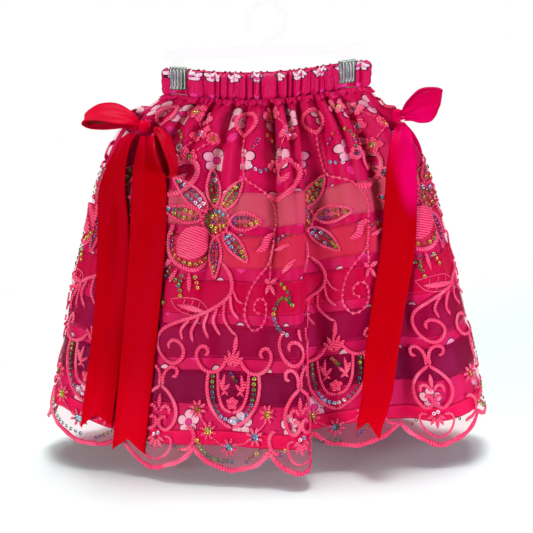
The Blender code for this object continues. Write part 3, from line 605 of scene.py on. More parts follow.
def smooth_rows(rows: Points, steps: int) -> Points:
    """Rows of numbers, ((n - 1) * steps + 1, any): the old rows, (n, any), with steps - 1 new ones in each
    gap, on a smooth cubic curve through the old ones."""
    rows = np.asarray(rows, float)
    padded = np.concatenate([2 * rows[:1] - rows[1:2], rows, 2 * rows[-1:] - rows[-2:-1]])
    slopes = (padded[2:] - padded[:-2]) / 2
    at = np.arange((len(rows) - 1) * steps + 1) / steps
    low = np.minimum(at.astype(int), len(rows) - 2)
    t = (at - low)[:, None]
    return (
        rows[low] * (1 + 2 * t) * (1 - t) ** 2
        + rows[low + 1] * t**2 * (3 - 2 * t)
        + slopes[low] * t * (1 - t) ** 2
        - slopes[low + 1] * t**2 * (1 - t)
    )


def evenly(curve: Points, steps: int) -> Points:
    """A flat line of points, (n, 2), as steps + 1 points evenly spaced along it."""
    run = runs(curve)
    at = np.linspace(0, run[-1], steps + 1)
    return np.stack([np.interp(at, run, curve[:, i]) for i in (0, 1)], axis=1)


def smoothed(columns: Points) -> Points:
    """Columns of numbers, each smoothed by five weights that sum to 1, its ends held."""
    weights = np.array([1, 4, 6, 4, 1]) / 16
    padded = np.pad(columns, ((2, 2), (0, 0)), "edge")
    return sum(weight * padded[i : i + len(columns)] for i, weight in enumerate(weights))


def unit(vectors: Points) -> Points:
    """The vectors at length 1, along the last axis."""
    return vectors / np.maximum(np.linalg.norm(vectors, axis=-1, keepdims=True), 1e-12)


def runs(points: Points) -> Points:
    """Length along a line of points up to each of them."""
    return np.concatenate([[0.0], np.cumsum(np.linalg.norm(np.diff(points, axis=0), axis=1))])


# The cloth


@dataclass
class HangingCloth:
    """The way the cloth hangs, as cut and as the CAD has it: places are given round the skirt in scallops,
    down the cloth from the waistband in metres, and out from the cotton's outer face in metres."""

    cusp: float = 0.25
    cotton_length: float = 0.337
    overlay_cusp_length: float = 0.3415
    scallop_drop: float = 0.0195
    band_half_width: float = 0.1005
    band_half_depth: float = 0.0075
    band_squareness: float = 8
    band_height: float = 0.025
    band_top: float = -0.058
    under_band: float = 0.0004
    clip_x: tuple[float, float] = (-0.0867, 0.0796)
    clip_grip: float = 0.0017
    clip_reach: float = 0.0138
    sag: float = 0.0075
    tilt: float = 0.037
    full_drop: float = 0.345
    lean_half_width: float = 0.225
    flare: tuple[float, float, float] = (0.048, 0.545, 0.7)
    flare_lean: tuple[float, float] = (0.012, 0.025)
    past_hem: float = 1.15
    fall_steps: int = 231
    level_depth: float = 0.04
    open_from: float = 0.115
    least_room: float = 0.0018
    full_room: float = 0.008
    broad_share: float = 1.35
    seam_inset: float = 0.0012
    columns_per_scallop: int = 48
    row_step: float = 0.002
    longest: float = 0.372
    hem: tuple = (
        # round, x, y, how much lower than its cut it hangs
        (0.0, -0.225, -0.002, 0.004), (0.45, -0.214, -0.036, 0.004), (0.95, -0.173, -0.058, 0.006),
        (1.3, -0.145, -0.058, 0.007), (1.65, -0.12, -0.078, 0.009), (2.05, -0.09, -0.096, 0.006),
        (2.6, -0.051, -0.104, 0.003), (3.2, -0.006, -0.112, 0.006), (3.6, 0.018, -0.12, 0.008),
        (3.84, 0.031, -0.117, 0.006), (4.02, 0.034, -0.101, 0.0), (4.18, 0.035, -0.085, -0.006),
        (4.42, 0.056, -0.074, -0.008), (4.9, 0.101, -0.079, -0.008), (5.35, 0.138, -0.068, -0.001),
        (5.85, 0.178, -0.07, 0.013), (6.25, 0.215, -0.048, 0.012), (6.6, 0.23, -0.004, 0.005),
        (7.0, 0.214, 0.034, 0.0), (7.4, 0.176, 0.052, 0.0), (7.85, 0.152, 0.084, 0.0),
        (8.25, 0.12, 0.092, 0.0), (8.62, 0.094, 0.076, 0.0), (9.1, 0.062, 0.106, 0.0),
        (9.55, 0.024, 0.108, 0.0), (9.95, 0.0, 0.084, 0.0), (10.4, -0.032, 0.11, 0.0),
        (10.88, -0.072, 0.111, 0.0), (11.28, -0.094, 0.084, 0.0), (11.75, -0.126, 0.099, 0.0),
        (12.2, -0.158, 0.084, 0.0), (12.62, -0.178, 0.056, 0.0), (13.12, -0.206, 0.044, 0.0),
        (13.6, -0.219, 0.024, 0.0),
    )
    gather_depths: tuple = (
        # down, fine gathers, broad waves
        (0.0, 0.002, 0.0), (0.01, 0.0052, 0.0006), (0.028, 0.006, 0.002), (0.06, 0.0042, 0.0038),
        (0.1, 0.0022, 0.004), (0.135, 0.0014, 0.0034), (0.19, 0.0003, 0.0018), (0.27, 0.0, 0.0),
    )
    laps: tuple = (
        # round, half width, how far out: the big fold's crest and the valley to its right
        (3.66, 0.16, 0.004), (4.34, 0.26, -0.0085),
    )
    lap_depths: tuple = (
        # down, share of the laps' depth
        (0.0, 0.0), (0.03, 0.7), (0.08, 1.0), (0.2, 0.7), (0.3, 0.0),
    )
    waves: tuple = (
        # how many round, turn in radians a metre down, start, height
        (23, 38.0, 0.0, 0.00055), (31, -29.0, 1.3, 0.00045), (17, 61.0, 2.1, 0.0004),
        (41, 17.0, 4.0, 0.00035),
    )
    soft_from: float = 0.05
    crisp_height: float = 0.0014
    crisp_depth: float = 0.016
    normal_step: tuple[float, float] = (0.012, 0.001)

    def __post_init__(self) -> None:
        """Works the whole cloth out once, on a fine grid that the other methods read."""
        around = np.arange(SCALLOPS * self.columns_per_scallop) / self.columns_per_scallop
        self.depths = down = np.arange(round(self.longest / self.row_step) + 1) * self.row_step
        smooth = self.hanging(around, down)
        along = np.roll(smooth, -1, axis=1) - np.roll(smooth, 1, axis=1)
        below = np.gradient(smooth, axis=0)
        square = unit(np.cross(below, along))
        level = unit(np.stack([along[..., 1], -along[..., 0], 0 * along[..., 0]], axis=2))
        turn = np.clip(down / self.level_depth, 0, 1)[:, None, None]
        self.outward = unit(level + (square - level) * turn)
        room = np.abs(smooth[..., 1]) + 2 * np.clip(np.abs(smooth[..., 0]) - self.open_from, 0, 1)
        free = np.clip((room - self.least_room) / self.full_room, 0.1, 1)
        relief = (self.gathers(around, down) + self.rumple(around, down)) * free
        self.face = smooth + self.outward * relief[..., None]
        self.spans = np.linalg.norm(np.roll(smooth, -1, axis=1) - smooth, axis=2).sum(axis=1) / SCALLOPS

    def scallop_width(self, down: Points) -> Points:
        """How wide a scallop of the smooth cloth is at lengths down it, in metres."""
        return np.interp(down, self.depths, self.spans)

    def folds(self, around: Points) -> Points:
        """Plan at the hem and the extra hang, (n, 3): a smooth closed cubic curve through the table."""
        table = np.array(self.hem)
        knots = np.concatenate([table[-1:, 0] - SCALLOPS, table[:, 0], table[:2, 0] + SCALLOPS])
        places = np.concatenate([table[-1:, 1:], table[:, 1:], table[:2, 1:]])
        slopes = (places[2:] - places[:-2]) / (knots[2:] - knots[:-2])[:, None]
        around = np.asarray(around, float) % SCALLOPS
        at = np.clip(np.searchsorted(knots, around, side="right") - 1, 1, len(knots) - 3)
        span = (knots[at + 1] - knots[at])[:, None]
        t = (around - knots[at])[:, None] / span
        return (
            places[at] * (1 + 2 * t) * (1 - t) ** 2
            + places[at + 1] * t**2 * (3 - 2 * t)
            + slopes[at - 1] * span * t * (1 - t) ** 2
            - slopes[at] * span * t**2 * (1 - t)
        )

    def pinch(self, x: Points) -> Points:
        """1 under a clip, falling to 0 away from it."""
        return sum(np.exp(-(((x - clip) / self.clip_reach) ** 8)) for clip in self.clip_x)

    def waist(self, around: Points) -> Points:
        """Plan at the waistband, (n, 2): a flattened loop, squeezed under the clips, its cloth evenly shared:
        (x / half width)^8 + (y / half depth)^2 = 1."""
        x = -self.band_half_width * np.cos(np.linspace(0, math.pi, 721))
        rounded = np.sqrt(np.clip(1 - np.abs(x / self.band_half_width) ** self.band_squareness, 0, 1))
        gripped = self.band_half_depth - (self.band_half_depth - self.clip_grip) * self.pinch(x)
        y = np.minimum(self.band_half_depth * rounded, gripped)
        run = np.concatenate([[0], np.cumsum(np.hypot(np.diff(x), np.diff(y)))])
        around = np.asarray(around, float) % SCALLOPS
        front = around <= FRONT_SCALLOPS
        share = np.where(front, around / FRONT_SCALLOPS, (SCALLOPS - around) / (SCALLOPS - FRONT_SCALLOPS))
        depth = np.interp(share * run[-1], run, y)
        return np.stack([np.interp(share * run[-1], run, x), np.where(front, -depth, depth)], axis=1)

    def rim(self, x: Points) -> Points:
        """Height of the waistband's upper edge at x: the hanger's tilt, less the sag between the clips."""
        middle, half = sum(self.clip_x) / 2, (self.clip_x[1] - self.clip_x[0]) / 2
        return self.band_top + self.tilt * x - self.sag * np.clip(1 - ((x - middle) / half) ** 2, 0, 1)

    def hanging(self, around: Points, down: Points) -> Points:
        """The cotton's outer face without gathers, (rows, columns, 3): each column runs from the waist's plan
        to the hem's, out as a power of its fall, and is measured off along its own length. The flare is how
        soon the shoulder is reached and the powers across and in depth, the first two a little larger
        towards the right."""
        waist, hem = self.waist(around), self.folds(around)
        fall = np.linspace(0, self.past_hem, self.fall_steps)[:, None] ** 2
        lean = hem[:, 0] / self.lean_half_width
        reached, across, deep = self.flare
        shoulder = 1 - np.exp(-fall / (reached + self.flare_lean[0] * lean))
        x = waist[:, 0] + (hem[:, 0] - waist[:, 0]) * shoulder * fall ** (across + self.flare_lean[1] * lean)
        y = waist[:, 1] + (hem[:, 1] - waist[:, 1]) * shoulder * fall**deep
        lift = (self.rim(waist[:, 0]) - self.band_top) * (1 - np.clip(fall, 0, 1))
        z = self.band_top - self.band_height - self.under_band + lift - self.full_drop * fall
        path = np.stack([x, y, z], axis=2)
        step = np.linalg.norm(np.diff(path, axis=0), axis=2)
        run = np.concatenate([np.zeros((1, len(waist))), np.cumsum(step, axis=0)])
        wanted = down[:, None] * (1 + hem[:, 2] / self.cotton_length)
        at = np.clip((run[None] <= wanted[:, None]).sum(axis=1) - 1, 0, len(run) - 2)
        low, high = np.take_along_axis(run, at, 0), np.take_along_axis(run, at + 1, 0)
        t = ((wanted - low) / (high - low))[..., None]
        near = np.take_along_axis(path, at[..., None], 0)
        return near + (np.take_along_axis(path, at[..., None] + 1, 0) - near) * t

    def gathers(self, around: Points, down: Points) -> Points:
        """How far the gathers stand out, (rows, columns): two uneven ones to a scallop, one broad wave below,
        and the laps of the big fold."""
        table = np.array(self.gather_depths)
        fine = np.interp(down, table[:, 0], table[:, 1])[:, None]
        broad = np.interp(down, table[:, 0], table[:, 2])[:, None]
        turn = 2 * math.pi * around / SCALLOPS
        uneven = 1.0 + 0.3 * np.sin(4 * turn + 1.2) + 0.25 * np.sin(9 * turn)
        small = self.crest(self.gather_turn(around)) * uneven
        large = self.crest(2 * math.pi * around + 1.3 * np.sin(2 * turn + 0.4) + 0.8)
        lap = sum(out * np.exp(-(((around - middle) / half) ** 2)) for middle, half, out in self.laps)
        depths = np.array(self.lap_depths)
        share = np.interp(down, depths[:, 0], depths[:, 1])[:, None]
        return fine * small + self.broad_share * broad * large + lap * share

    def gather_turn(self, around: Points) -> Points:
        """The gathers' angle, two uneven turns to a scallop."""
        turn = 2 * math.pi * around / SCALLOPS
        drift = 1.4 * np.sin(3 * turn + 0.7) + 0.9 * np.sin(5 * turn + 2.0) + 0.9 * np.sin(11 * turn)
        return 4 * math.pi * around + drift

    def crest(self, angle: Points) -> Points:
        """A wave with round crests and sharp valleys: 2.2 |cos(angle / 2)| - 1.3."""
        return 2.2 * np.abs(np.cos(angle / 2)) - 1.3

    def rumple(self, around: Points, down: Points) -> Points:
        """Small soft unevenness of handled cloth, (rows, columns): a few crossing waves, none at the waist.
        Close under the band it is finer gathers instead, three to each large one."""
        turn = 2 * math.pi * around[None, :] / SCALLOPS
        fall = down[:, None]
        soft = sum(
            size * np.sin(count * turn + speed * fall + start) for count, speed, start, size in self.waves
        )
        deep = np.clip(fall / self.soft_from, 0, 1)
        crisp = np.sin(70 * turn + 1.8 * np.sin(9 * turn) + 1.1 * np.sin(20 * turn))
        return soft * deep + self.crisp_height * crisp * np.exp(-fall / self.crisp_depth)

    def at(self, around: Points, down: Points, out: Points | float = 0.0) -> Points:
        """Points of the cloth, read from the fine grid by straight steps between its points.

        Args:
            around: Places round the skirt.
            down: Lengths down the cloth, the same shape.
            out: How far out of the cotton's face.

        Returns:
            The points, with one more axis of three.
        """
        face, outward = self.read(self.face, around, down), unit(self.read(self.outward, around, down))
        return face + outward * np.broadcast_to(out, face.shape[:-1])[..., None]

    def normal(self, around: Points, down: Points) -> Points:
        """Unit vectors out of the gathered cloth, square to it."""
        aside, below = self.normal_step
        along = self.read(self.face, around + aside, down) - self.read(self.face, around - aside, down)
        fall = self.read(self.face, around, down + below) - self.read(self.face, around, down - below)
        return unit(np.cross(fall, along))

    def read(self, grid: Points, around: Points, down: Points) -> Points:
        """A grid's values at places round and down, straight between its points."""
        column = (np.asarray(around, float) % SCALLOPS) * self.columns_per_scallop
        row = np.clip(np.asarray(down, float) / self.row_step, 0, len(grid) - 1.001)
        left, top = column.astype(int), row.astype(int)
        s, t = (column - left)[..., None], (row - top)[..., None]
        count = grid.shape[1]
        left, right = left % count, (left + 1) % count
        upper = grid[top, left] * (1 - s) + grid[top, right] * s
        return upper * (1 - t) + (grid[top + 1, left] * (1 - s) + grid[top + 1, right] * s) * t

    def scallop(self, around: Points) -> Points:
        """How far the overlay's hem reaches below its cusps: a round arch for each scallop."""
        return self.scallop_drop * np.sin(math.pi * ((around - self.cusp) % 1)) ** 0.8

    def panel(self, side: Side, per_scallop: int) -> Points:
        """Places round the skirt for a panel's columns, a seam's gap short of each side seam."""
        start, end = side.span
        columns = round((end - start) * per_scallop) + 1
        return np.linspace(start + self.seam_inset, end - self.seam_inset, columns)

    def sheet(
        self, name: str, grid: tuple[Points, Points], out: Points | float, uv: Points,
        look: Look, wall: float,
    ) -> Piece:
        """A sheet on the cloth, on a grid of places round by lengths down.

        Args:
            name: The piece's name.
            grid: Places round, (columns), and lengths down, (rows, columns).
            out: How far out of the cotton's face.
            uv: UV for each point or for each corner of each face.
            look: The material.
            wall: The sheet's thickness.

        Returns:
            The piece.
        """
        around, down = grid
        points = self.at(around + 0 * down, down, out).reshape(-1, 3)
        return thicken(make_mesh(name, points, quads_of(*down.shape), uv, look), wall)


@dataclass
class Skirt:
    """The printed cotton, the ribbons sewn round it, and the embroidered net over both."""

    cloth: HangingCloth
    net_out: float = 0.003
    ribbon_out: float = 0.0011
    cotton_columns: int = 26
    cotton_rows: int = 120
    cotton_wall: float = 0.0008
    net_columns: int = 30
    net_rows: int = 118
    net_wall: float = 0.0002
    net_drift: float = 0.0003
    ribbon_rows: int = 9
    ribbon_wall: float = 0.0004
    ribbon_crown: float = 0.0007
    pucker_height: float = 0.00018
    pucker_pitch: float = 0.0062
    ribbons: tuple = (
        # name, top edge and foot down the cloth, colour, stitching
        ("blush", 0.0955, 0.1275, srgb(208, 98, 108), srgb(225, 60, 95)),
        ("coral", 0.136, 0.168, srgb(212, 56, 70), srgb(205, 20, 70)),
        ("rose", 0.1795, 0.2115, srgb(192, 0, 40), srgb(225, 40, 95)),
        ("crimson", 0.2215, 0.2535, srgb(116, 0, 32), srgb(205, 24, 85)),
        ("wine", 0.265, 0.297, srgb(44, 0, 12), srgb(165, 10, 65)),
        ("flame", 0.3225, 0.3365, srgb(230, 14, 72), srgb(250, 60, 95)),
    )

    def build(self) -> dict[str, Piece]:
        """Makes the two panels of each layer."""
        made = {}
        cotton = PrintedCotton("printed_cotton", srgb(214, 0, 76), 0.45).build()
        net = Net("embroidered_net", srgb(225, 12, 92), 0.85).build()
        for side in Side:
            made[f"cotton_{side.value}"] = self.cotton(side, cotton)
            for name, top, foot, colour, thread in self.ribbons:
                look = Satin(f"satin_{name}_{side.value}", colour, 0.42, foot - top, thread).build()
                made[f"ribbon_{name}_{side.value}"] = self.ribbon(side, name, top, foot, look)
            made[f"overlay_{side.value}"] = self.overlay(side, net)
        return made

    def cuts(self) -> dict[str, Cut]:
        """Each panel's cut: as wide as its scallops at the hem, and as long as it is down the cloth."""
        cuts = {}
        for side in Side:
            panel = side.value
            width = (side.span[1] - side.span[0]) * HEM_SCALLOP
            band, cotton = "cloth_waistband", f"cloth_cotton_{panel}"
            cuts[f"cotton_{panel}"] = Cut((width, self.cloth.cotton_length), Held.GATHERED, (band,))
            for name, top, foot, _, _ in self.ribbons:
                cuts[f"ribbon_{name}_{panel}"] = Cut((width, foot - top), Held.GATHERED, (cotton,))
            cusp = self.cloth.overlay_cusp_length
            mean = float(self.cloth.scallop(np.linspace(0, 1, 200)).mean())
            cuts[f"overlay_{panel}"] = Cut(
                (width, cusp + self.cloth.scallop_drop), Held.GATHERED, (cotton, band),
                width * (cusp + mean), (f"stitches_{panel}", f"sequins_{panel}"),
            )
        return cuts

    def cotton(self, side: Side, look: Look) -> Piece:
        """The printed panel, finished at the foot under the last ribbon."""
        around = self.cloth.panel(side, self.cotton_columns)
        down = np.linspace(0.0, self.cloth.cotton_length, self.cotton_rows)[:, None] + 0 * around
        uv = gathered_uv(
            around, down, self.cloth.scallop_width(down), self.cloth.gather_turn(around), HEM_SCALLOP
        )
        return self.cloth.sheet(f"cloth_cotton_{side.value}", (around, down), 0.0, uv, look, self.cotton_wall)

    def ribbon(self, side: Side, name: str, top: float, foot: float, look: Look) -> Piece:
        """A ribbon sewn at both edges, crowned a little between them and puckered along the stitches.

        With s from 0 to 1 across it, the crown is the root of 4 s (1 - s), and the pucker a wave along the
        ribbon that fades as 1 - 4 s (1 - s).
        """
        around = self.cloth.panel(side, self.cotton_columns)
        share = np.linspace(0, 1, self.ribbon_rows)[:, None]
        down = top + (foot - top) * share + 0 * around
        crown = self.ribbon_crown * (4 * share * (1 - share)) ** 0.5
        ripple = np.sin(around * HEM_SCALLOP * 2 * math.pi / self.pucker_pitch)
        pucker = self.pucker_height * ripple * (1 - 4 * share * (1 - share))
        uv = np.stack([around * HEM_SCALLOP + 0 * down, (foot - top) * share + 0 * around], axis=-1)
        return self.cloth.sheet(
            f"cloth_ribbon_{name}_{side.value}", (around, down), self.ribbon_out + crown + pucker,
            uv.reshape(-1, 2), look, self.ribbon_wall,
        )

    def net_face(self, around: Points, down: Points) -> Points:
        """How far the net stands out of the cotton: a thread's breadth at the band, loose below."""
        loose = np.clip(down / 0.08, 0.15, 1)
        drift = self.net_drift * np.sin(around * 5.1 + down * 33)
        drift = drift + self.net_drift * np.sin(around * 8.7 - down * 21 + 1)
        return self.net_out * (0.75 + 0.25 * np.clip(down / 0.09, 0, 1)) + drift * loose

    def overlay(self, side: Side, look: Look) -> Piece:
        """The net panel, whose rows run into the scallops of its hem."""
        around = self.cloth.panel(side, self.net_columns)
        share = np.linspace(0, 1, self.net_rows)[:, None] ** 0.95
        down = share * (self.cloth.overlay_cusp_length + self.cloth.scallop(around))
        uv = np.stack([around * HEM_SCALLOP + 0 * down, down], axis=-1).reshape(-1, 2)
        out = self.net_face(around, down)
        return self.cloth.sheet(f"cloth_overlay_{side.value}", (around, down), out, uv, look, self.net_wall)


@dataclass
class Waistband:
    """The ruched casing: cloth drawn up on elastic into uneven tucks, held flat under the clips."""

    cloth: HangingCloth
    columns: int = 1120
    rows: int = 26
    face: float = 0.003
    inside: float = -0.001
    flat: tuple[float, float] = (0.68, 0.03)
    reach: float = 0.02
    grip: float = 0.0098
    tucks: int = 50
    tuck_height: float = 0.003
    tuck_width: float = 0.0285
    casing_line: float = 0.0003
    edge_ripple: float = 0.0013
    print_rows: tuple[float, float] = (0.031, 0.089)
    frill_grid: tuple[int, int] = (7, 1500)
    frill_gap: float = 0.05
    frill_waves: int = 118
    frill_height: tuple[float, float] = (0.0052, 0.0016)
    frill_out: tuple[float, float] = (0.0016, 0.0012)
    frill_scallop: float = 0.056
    frill_wall: float = 0.0004

    def build(self) -> dict[str, Piece]:
        """Makes the band as one closed ring, and the frill under it.

        With s from -1 at the band's top to 1 at its foot, its face swells as (1 - |s|^5)^0.4. A tuck's height
        is |cos(phase / 2)|^1.1, and smaller waves run over it. Under the clips all of it is pressed flat.
        """
        around = np.arange(self.columns) * SCALLOPS / self.columns
        plan = self.cloth.waist(around)
        along = self.cloth.waist(around + self.reach) - self.cloth.waist(around - self.reach)
        level = unit(np.stack([along[:, 1], -along[:, 0]], axis=1))
        pinch = sum(np.exp(-(((plan[:, 0] - clip) / self.grip) ** 8)) for clip in self.cloth.clip_x)
        turn = 2 * math.pi * around / SCALLOPS
        profile = np.linspace(-1, 1, self.rows)[:, None]
        phase = self.tuck_phase(turn, profile)
        tuck = (2 * np.abs(np.cos(phase / 2)) ** 1.1 - 1.2) * (0.8 + 0.3 * np.sin(5 * turn))
        small = 0.14 * np.sin(151 * turn + 2.1 * np.sin(8 * turn) + 1.2 * profile)
        height = self.tuck_height * (tuck + small) * (1 - 0.85 * pinch)
        rounded = (1 - np.abs(profile) ** 5) ** 0.4
        swell = (self.face - self.inside) * rounded * (1 - 0.25 * pinch)
        lines = self.casing_line * np.cos(3.2 * math.pi * profile) * (1 - pinch)
        out = self.inside + swell + height * (0.35 + 0.65 * rounded) + lines
        ripple = self.edge_ripple * np.cos(phase) * (1 - pinch) * np.abs(profile)
        down = self.cloth.band_height * (profile + 1) / 2 + ripple
        rim, back = self.cloth.rim(plan[:, 0]), np.array([[1.0], [0.0]])
        outer = self.ring(plan, level, out, rim - down)
        hidden = self.ring(plan, level, self.inside + 0 * back, rim - self.cloth.band_height * back)
        points = np.concatenate([outer, hidden])
        look = PrintedCotton("waistband_print", srgb(214, 0, 80), 0.4, (0.032, 0.08), 0.0105).build()
        quads = ring_quads(len(points), self.columns)
        uv = self.band_uv(around, phase[self.rows // 2 - 1], len(points) + 1)
        piece = make_mesh("cloth_waistband", points.reshape(-1, 3), quads, uv, look)
        return {"waistband": piece, "frill": self.frill(look)}

    def ring(self, plan: Points, level: Points, out: Points, height: Points) -> Points:
        """Rings of points, (rows, columns, 3), so far out of the plan and at these heights."""
        return np.dstack([plan[:, 0] + level[:, 0] * out, plan[:, 1] + level[:, 1] * out, height])

    def tuck_phase(self, turn: Points, profile: Points) -> Points:
        """The tucks' angle, (rows, columns): evenly many round, drifting and leaning by slow waves."""
        lean = 0.3 * np.sin(7 * turn + 1) + 0.22 * np.sin(11 * turn)
        drift = 2.2 * np.sin(6 * turn + 0.4) + 1.9 * np.sin(13 * turn + 2) + 0.7 * np.sin(31 * turn + 1)
        return self.tucks * (turn + 0.016 * lean * profile) + drift

    def band_uv(self, around: Points, phase: Points, rows: int) -> Points:
        """The print's UV on the closed ring, for each corner of each face."""
        column = np.append(around, SCALLOPS)
        run = np.linspace(*self.print_rows, rows)[:, None] + 0 * column
        turns = np.append(phase, phase[0] + 2 * math.pi * self.tucks)
        return gathered_uv(column, run, 0 * run + self.tuck_width, turns, self.flat[0] / SCALLOPS)

    def cuts(self) -> dict[str, Cut]:
        """The outer half of the casing's strip, which is folded over the elastic."""
        return {"waistband": Cut(self.flat, Held.GATHERED, ("clip_left", "clip_right"), goes_with=("frill",))}

    def frill(self, look: Look) -> Piece:
        """The raw gathered edge that stands out under the band: a narrow strip in quick uneven waves."""
        rows, columns = self.frill_grid
        around = np.linspace(self.frill_gap, SCALLOPS - self.frill_gap, columns)
        share = np.linspace(0, 1, rows)[:, None]
        turn = 2 * math.pi * around / SCALLOPS
        wave = np.sin(self.frill_waves * turn + 2.2 * np.sin(9 * turn) + 1.4 * np.sin(23 * turn))
        mean, change = self.frill_height
        height = mean + change * np.sin(41 * turn + 1.8 * np.sin(7 * turn))
        pinch = self.cloth.pinch(self.cloth.waist(around)[:, 0])
        down = 0.0002 + height * share
        mean, change = self.frill_out
        out = self.face + (mean + change * wave) * share * (1 - 0.6 * pinch)
        uv = np.stack([around * self.frill_scallop + 0 * down, down + 0.003], axis=-1).reshape(-1, 2)
        return self.cloth.sheet("cloth_frill", (around, down), out, uv, look, self.frill_wall)


@dataclass
class Bows:
    """The two satin bows: tails laid where the CAD lays them, loops and knots."""

    thickness: float = 0.0005
    ribbon: float = 0.036
    tails: tuple = (
        ("bow_left_tail_outer", -1, (
            # x, z, half the width that shows
            (-0.132, -0.1235, 0.0045), (-0.1385, -0.13, 0.0065), (-0.1425, -0.139, 0.0075),
            (-0.1485, -0.156, 0.01), (-0.1525, -0.178, 0.0135), (-0.152, -0.205, 0.0155),
            (-0.1525, -0.245, 0.016), (-0.157, -0.303, 0.016), (-0.164, -0.356, 0.016),
            (-0.1695, -0.392, 0.016), (-0.1715, -0.409, 0.016),
        )),
        ("bow_left_tail_inner", -1, (
            (-0.119, -0.125, 0.0055), (-0.119, -0.135, 0.008), (-0.119, -0.1485, 0.0112),
            (-0.116, -0.166, 0.0165), (-0.117, -0.2045, 0.0178), (-0.12, -0.245, 0.0175),
            (-0.1265, -0.312, 0.017), (-0.133, -0.37, 0.0168), (-0.138, -0.413, 0.0165),
            (-0.14, -0.4305, 0.0165),
        )),
        ("bow_right_tail_front", -1, (
            (0.133, -0.116, 0.0045), (0.1325, -0.126, 0.0105), (0.1315, -0.1385, 0.013),
            (0.1305, -0.159, 0.015), (0.1295, -0.188, 0.0162), (0.126, -0.237, 0.0172),
            (0.1175, -0.285, 0.0172), (0.1095, -0.333, 0.0165), (0.1035, -0.372, 0.014),
            (0.0965, -0.398, 0.011), (0.094, -0.411, 0.01),
        )),
        ("bow_right_tail_back", 1, (
            (0.1355, -0.1165, 0.004), (0.141, -0.127, 0.0085), (0.1455, -0.142, 0.0125),
            (0.1465, -0.16, 0.0155), (0.148, -0.19, 0.017), (0.15, -0.24, 0.0175),
            (0.152, -0.295, 0.0175), (0.155, -0.35, 0.0172), (0.159, -0.398, 0.017),
            (0.1605, -0.416, 0.017),
        )),
    )
    loops: tuple = (
        ("bow_left_loop_outer", (
            # middle of the ribbon, half its width, the way its front edge faces
            (-0.129, -0.02, -0.112, 0.0045, 0.0, -0.87, -0.5),
            (-0.1377, -0.0185, -0.1065, 0.013, 0.0, -0.9, -0.44),
            (-0.1512, -0.018, -0.103, 0.0185, 0.0, -0.9, -0.44),
            (-0.166, -0.017, -0.1022, 0.0185, 0.0, -0.93, -0.36),
            (-0.177, -0.016, -0.1052, 0.018, 0.0, -0.97, -0.22),
            (-0.1822, -0.016, -0.1092, 0.0175, 0.0, -0.985, -0.14),
            (-0.176, -0.017, -0.1118, 0.018, 0.0, -0.97, -0.2),
            (-0.1642, -0.018, -0.1122, 0.0185, 0.0, -0.96, -0.26),
            (-0.1526, -0.0185, -0.1118, 0.018, 0.0, -0.95, -0.3),
            (-0.1419, -0.019, -0.1125, 0.012, 0.0, -0.92, -0.38),
            (-0.1298, -0.0205, -0.1165, 0.0045, 0.0, -0.9, -0.44),
        )),
        ("bow_left_loop_inner", (
            (-0.1115, -0.0245, -0.117, 0.0042, -0.2, -0.9, -0.35),
            (-0.1048, -0.032, -0.1224, 0.012, -0.2, -0.92, -0.32),
            (-0.0994, -0.039, -0.1293, 0.017, -0.22, -0.94, -0.26),
            (-0.0951, -0.044, -0.138, 0.018, -0.25, -0.95, -0.12),
            (-0.0922, -0.049, -0.1475, 0.018, -0.25, -0.96, -0.03),
            (-0.0918, -0.054, -0.1554, 0.0175, -0.22, -0.97, 0.08),
            (-0.095, -0.056, -0.1605, 0.017, -0.2, -0.97, 0.1),
            (-0.0995, -0.0525, -0.1557, 0.017, -0.22, -0.97, 0.05),
            (-0.103, -0.048, -0.1457, 0.017, -0.25, -0.96, 0.0),
            (-0.1072, -0.038, -0.1355, 0.012, -0.25, -0.95, -0.1),
            (-0.112, -0.026, -0.1235, 0.0042, -0.22, -0.92, -0.25),
        )),
        ("bow_right_loop_front", (
            (0.1325, -0.0215, -0.106, 0.0056, 0.3, -0.3, -0.9),
            (0.1385, -0.0235, -0.103, 0.0085, 0.2, -0.3, -0.93),
            (0.147, -0.024, -0.0995, 0.0142, 0.1, -0.34, -0.93),
            (0.159, -0.021, -0.0965, 0.0162, 0.0, -0.42, -0.9),
            (0.1705, -0.013, -0.0935, 0.014, -0.3, -0.6, -0.74),
            (0.1668, -0.003, -0.0935, 0.015, -0.2, -0.45, -0.87),
            (0.153, -0.002, -0.0965, 0.016, 0.0, -0.34, -0.94),
            (0.14, -0.0065, -0.101, 0.0098, 0.0, -0.3, -0.95),
            (0.1335, -0.012, -0.105, 0.0056, 0.0, -0.3, -0.95),
        )),
        ("bow_right_loop_back", (
            (0.132, 0.01, -0.111, 0.005, 0.1, 0.3, -0.94),
            (0.1255, 0.0215, -0.114, 0.011, 0.05, 0.45, -0.88),
            (0.116, 0.033, -0.119, 0.0165, 0.0, 0.5, -0.86),
            (0.103, 0.043, -0.124, 0.0178, 0.0, 0.55, -0.83),
            (0.091, 0.052, -0.127, 0.0172, 0.0, 0.6, -0.8),
            (0.088, 0.061, -0.126, 0.0172, 0.0, 0.6, -0.8),
            (0.099, 0.061, -0.121, 0.0178, 0.0, 0.55, -0.83),
            (0.114, 0.053, -0.116, 0.0165, 0.0, 0.5, -0.86),
            (0.127, 0.036, -0.112, 0.011, 0.05, 0.45, -0.88),
            (0.1375, 0.011, -0.109, 0.005, 0.1, 0.3, -0.94),
        )),
    )
    knots: tuple = ("bow_left_knot", "bow_right_knot")
    tied_with_knot: tuple = ("bow_left_tail_outer", "bow_right_tail_front")
    columns: int = 17
    found_columns: tuple[float, ...] = (-0.8, -0.4, 0.0, 0.4, 0.8)
    crease_depth: float = 0.0016
    swallowtail: float = 0.014
    tail_end: float = 0.05
    knot_grid: tuple[int, int] = (25, 48)
    knot_ribbon: tuple[float, float] = (0.006, 0.03)
    lengths: dict[str, float] = field(default_factory=dict)

